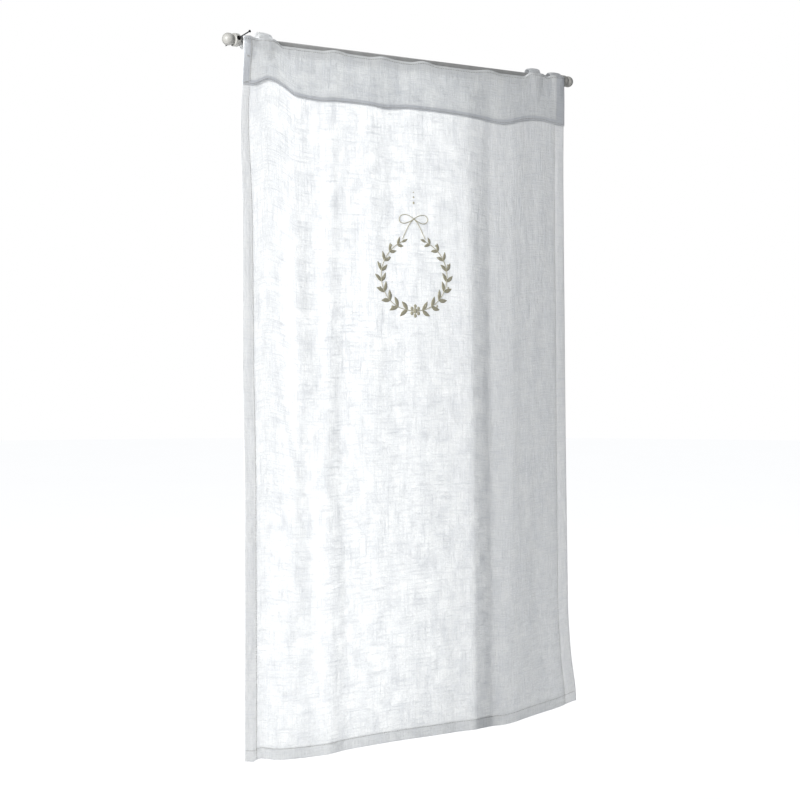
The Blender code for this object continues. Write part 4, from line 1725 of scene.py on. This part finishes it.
class CURTAIN_OT_loops(bpy.types.Operator):
    """Make the four loops that go over the rod"""

    bl_idname = "curtain.loops"
    bl_label = "Loops"

    def execute(self, context):
        cloth, finish = context.scene.curtain_cloth, context.scene.curtain_finish
        made = linen("loop linen", finish)
        for tab in TABS:
            loop = make_loop(tab, cloth, made)
        return {"FINISHED"}


class CURTAIN_OT_seams(bpy.types.Operator):
    """Sew the hems and the heading, and tack the left corner"""

    bl_idname = "curtain.seams"
    bl_label = "Seams"

    def execute(self, context):
        scene = context.scene
        cloth, stitch, finish = scene.curtain_cloth, scene.curtain_stitch, scene.curtain_finish
        # The seam thread is dark partly as painted shadow under the heading's edge
        pale = tuple(min(1.0, channel * 1.3) for channel in finish.sewing_thread)
        made = shared(
            "sewing thread", thread_material, "sewing thread", finish.sewing_thread, pale, 0.0
        )
        add_piece("hem_stitches", seam_shape(cloth, stitch), made)
        add_piece("corner_tacks", tack_shape(cloth), made)
        return {"FINISHED"}


class CURTAIN_OT_wreath(bpy.types.Operator):
    """Embroider the wreath and its bow"""

    bl_idname = "curtain.wreath"
    bl_label = "Wreath"

    def execute(self, context):
        scene = context.scene
        cloth, stitch, finish = scene.curtain_cloth, scene.curtain_stitch, scene.curtain_finish
        colours = (finish.embroidery, finish.embroidery_light)
        satin = shared("satin stitch", thread_material, "satin stitch", *colours, SATIN_PITCH)
        stem = shared("stem stitch", thread_material, "stem stitch", *colours, 0.0)
        leaves = leaf_shape(wreath_leaves(stitch), cloth)
        add_piece("wreath_leaves", leaves, satin)
        add_piece("wreath_berries", knot_shape(wreath_knots(stitch), cloth), stem)
        stitched_lines("wreath_stems", bow_lines(cloth, stitch), STEM_RADIUS, stem)
        return {"FINISHED"}


class CURTAIN_OT_rod(bpy.types.Operator):
    """Turn the rod and its two ball ends"""

    bl_idname = "curtain.rod"
    bl_label = "Rod"

    def execute(self, context):
        finish = context.scene.curtain_finish
        wear = shared("old finish", wear_group)
        pale = finish.paint
        # Painted shade: the rod's material is its pale paint darkened to grey, standing for shade
        # on the rod
        grey = shared("grey paint", paint_material, "grey paint", finish.rod_paint_and_shade, pale, wear)
        # dark is the hole's painted shade
        bare, dark = finish.bare_wood, finish.hole
        # Painted shade: the ball ends' cream paint is darkened to stand for their shade
        cream = shared("cream paint", paint_material, "cream paint", pale, bare, wear)
        outline = [(LEFT_COLLAR, 0.0)]
        for place in np.linspace(LEFT_COLLAR, RIGHT_COLLAR, ROD_SECTIONS):
            uneven = ROD_UNEVENNESS * noise.noise((place / ROD_UNEVEN_LENGTH, 0.0, 2.2))
            outline.append((place, ROD_RADIUS + uneven))
        outline.append((RIGHT_COLLAR, 0.0))
        rod = add_piece("turned_rod", turned(outline), grey, ("rod",))
        rod.data.set_sharp_from_angle(angle=SHARP_ANGLE)
        left = make_finial("ball_end_left", "finial_left", LEFT_COLLAR, -1, cream)
        # Painted shade: the hole's inside is painted near black to stand for the shade in it
        drill_for_nail(left, shared("bare wood", paint_material, "bare wood", dark, dark, wear))
        right = make_finial("ball_end_right", "finial_right", RIGHT_COLLAR, 1, cream)
        right.data.set_sharp_from_angle(angle=SHARP_ANGLE)
        return {"FINISHED"}


class CURTAIN_OT_nail(bpy.types.Operator):
    """Make the nail through the left collar"""

    bl_idname = "curtain.nail"
    bl_label = "Nail"

    def execute(self, context):
        wear = shared("old finish", wear_group)
        made = shared("dark wire", steel_material, context.scene.curtain_finish, wear)
        nail = add_piece("wire_nail", nail_shape(), made, ("nail",))
        nail.data.set_sharp_from_angle(angle=WIRE_SHARP_ANGLE)
        return {"FINISHED"}


def area_light(name, place, target, width, height, power):
    """A soft rectangular light that the camera doesn't see."""
    data = bpy.data.lights.new(name, "AREA")
    data.shape = "RECTANGLE"
    data.size = width
    data.size_y = height
    data.energy = power
    light = bpy.data.objects.new(name, data)
    light.location = place
    direction = Vector(target) - Vector(place)
    light.rotation_euler = direction.to_track_quat("-Z", "Y").to_euler()
    light.visible_camera = False
    bpy.context.scene.collection.objects.link(light)


def studio_world(ambient):
    """White where the camera looks past the curtain, dimmer as light on it."""
    world = bpy.data.worlds.new("studio")
    world.use_nodes = True
    world.node_tree.nodes.clear()
    w = Wiring(world.node_tree)
    seen = w.add("ShaderNodeBackground", {"Color": (1.0, 1.0, 1.0, 1.0), "Strength": 1.0})
    lit = w.add("ShaderNodeBackground", {"Color": (0.93, 0.96, 1.0, 1.0), "Strength": ambient})
    looks = w.add("ShaderNodeLightPath").outputs["Is Camera Ray"]
    mixed = w.add("ShaderNodeMixShader", {0: looks, 1: lit.outputs[0], 2: seen.outputs[0]})
    output = w.add("ShaderNodeOutputWorld")
    w.feed(output.inputs["Surface"], mixed.outputs[0])
    return world


class CURTAIN_OT_stage(bpy.types.Operator):
    """Set up the camera, the pale floor and the soft lights"""

    bl_idname = "curtain.stage"
    bl_label = "Stage"

    def execute(self, context):
        stage, finish = context.scene.curtain_stage, context.scene.curtain_finish
        data = bpy.data.cameras.new("camera")
        data.lens = stage.lens
        data.sensor_width = SENSOR_WIDTH
        data.shift_y = stage.horizon_shift
        camera = bpy.data.objects.new("camera", data)
        camera.location = CAMERA_PLACE
        camera.rotation_euler = (pi / 2, 0.0, CAMERA_TURN)
        context.scene.collection.objects.link(camera)
        context.scene.camera = camera
        shape = bmesh.new()
        bmesh.ops.create_circle(
            shape,
            cap_ends=True,
            segments=96,
            radius=FLOOR_RADIUS,
            matrix=Matrix.Translation((0.0, 0.0, stage.floor_height)),
        )
        mesh = bpy.data.meshes.new("studio_floor")
        shape.to_mesh(mesh)
        shape.free()
        floor = bpy.data.objects.new("studio_floor", mesh)
        mesh.materials.append(floor_material(finish))
        context.scene.collection.objects.link(floor)
        area_light(
            "side light", SIDE_LIGHT_PLACE, STAGE_MIDDLE, *SIDE_LIGHT_SIZE, stage.key_power
        )
        for name, low, high, share in BACK_LIGHTS:
            behind = (BACK_LIGHT_ALONG, BACK_LIGHT_BEHIND, (low + high) / 2)
            facing = (BACK_LIGHT_ALONG, 0.0, (low + high) / 2)
            power = stage.back_power * share
            area_light(name, behind, facing, BACK_LIGHT_WIDTH, high - low, power)
        context.scene.world = studio_world(stage.ambient)
        context.scene.view_settings.view_transform = "Standard"
        return {"FINISHED"}


class CURTAIN_PT_panel(bpy.types.Panel):
    """Lists the pieces of the curtain"""

    bl_label = "Cafe curtain"
    bl_idname = "CURTAIN_PT_panel"
    bl_space_type = "VIEW_3D"
    bl_region_type = "UI"
    bl_category = "Curtain"

    def draw(self, context):
        """One button for each piece, then the settings."""
        for operator in OPERATORS:
            self.layout.operator(operator.bl_idname)
        for name in SETTINGS:
            group = getattr(context.scene, name)
            box = self.layout.box()
            for prop in group.bl_rna.properties:
                if prop.identifier not in ("rna_type", "name"):
                    box.prop(group, prop.identifier)


OPERATORS = (
    CURTAIN_OT_stage,
    CURTAIN_OT_panel,
    CURTAIN_OT_heading,
    CURTAIN_OT_loops,
    CURTAIN_OT_seams,
    CURTAIN_OT_wreath,
    CURTAIN_OT_rod,
    CURTAIN_OT_nail,
)
SETTINGS = {
    "curtain_cloth": ClothSettings,
    "curtain_stitch": StitchSettings,
    "curtain_finish": FinishSettings,
    "curtain_stage": StageSettings,
}


def register():
    """Register the settings, operators and panel."""
    for name, group in SETTINGS.items():
        bpy.utils.register_class(group)
        setattr(bpy.types.Scene, name, bpy.props.PointerProperty(type=group))
    for made in (*OPERATORS, CURTAIN_PT_panel):
        bpy.utils.register_class(made)


def unregister():
    """Take the panel, operators and settings away again."""
    for made in (CURTAIN_PT_panel, *reversed(OPERATORS)):
        bpy.utils.unregister_class(made)
    for name, group in reversed(SETTINGS.items()):
        delattr(bpy.types.Scene, name)
        bpy.utils.unregister_class(group)


def main():
    """Register the add-on and make every piece."""
    register()
    for operator in OPERATORS:
        category, action = operator.bl_idname.split(".")
        getattr(getattr(bpy.ops, category), action)()


if __name__ == "__main__":
    main()
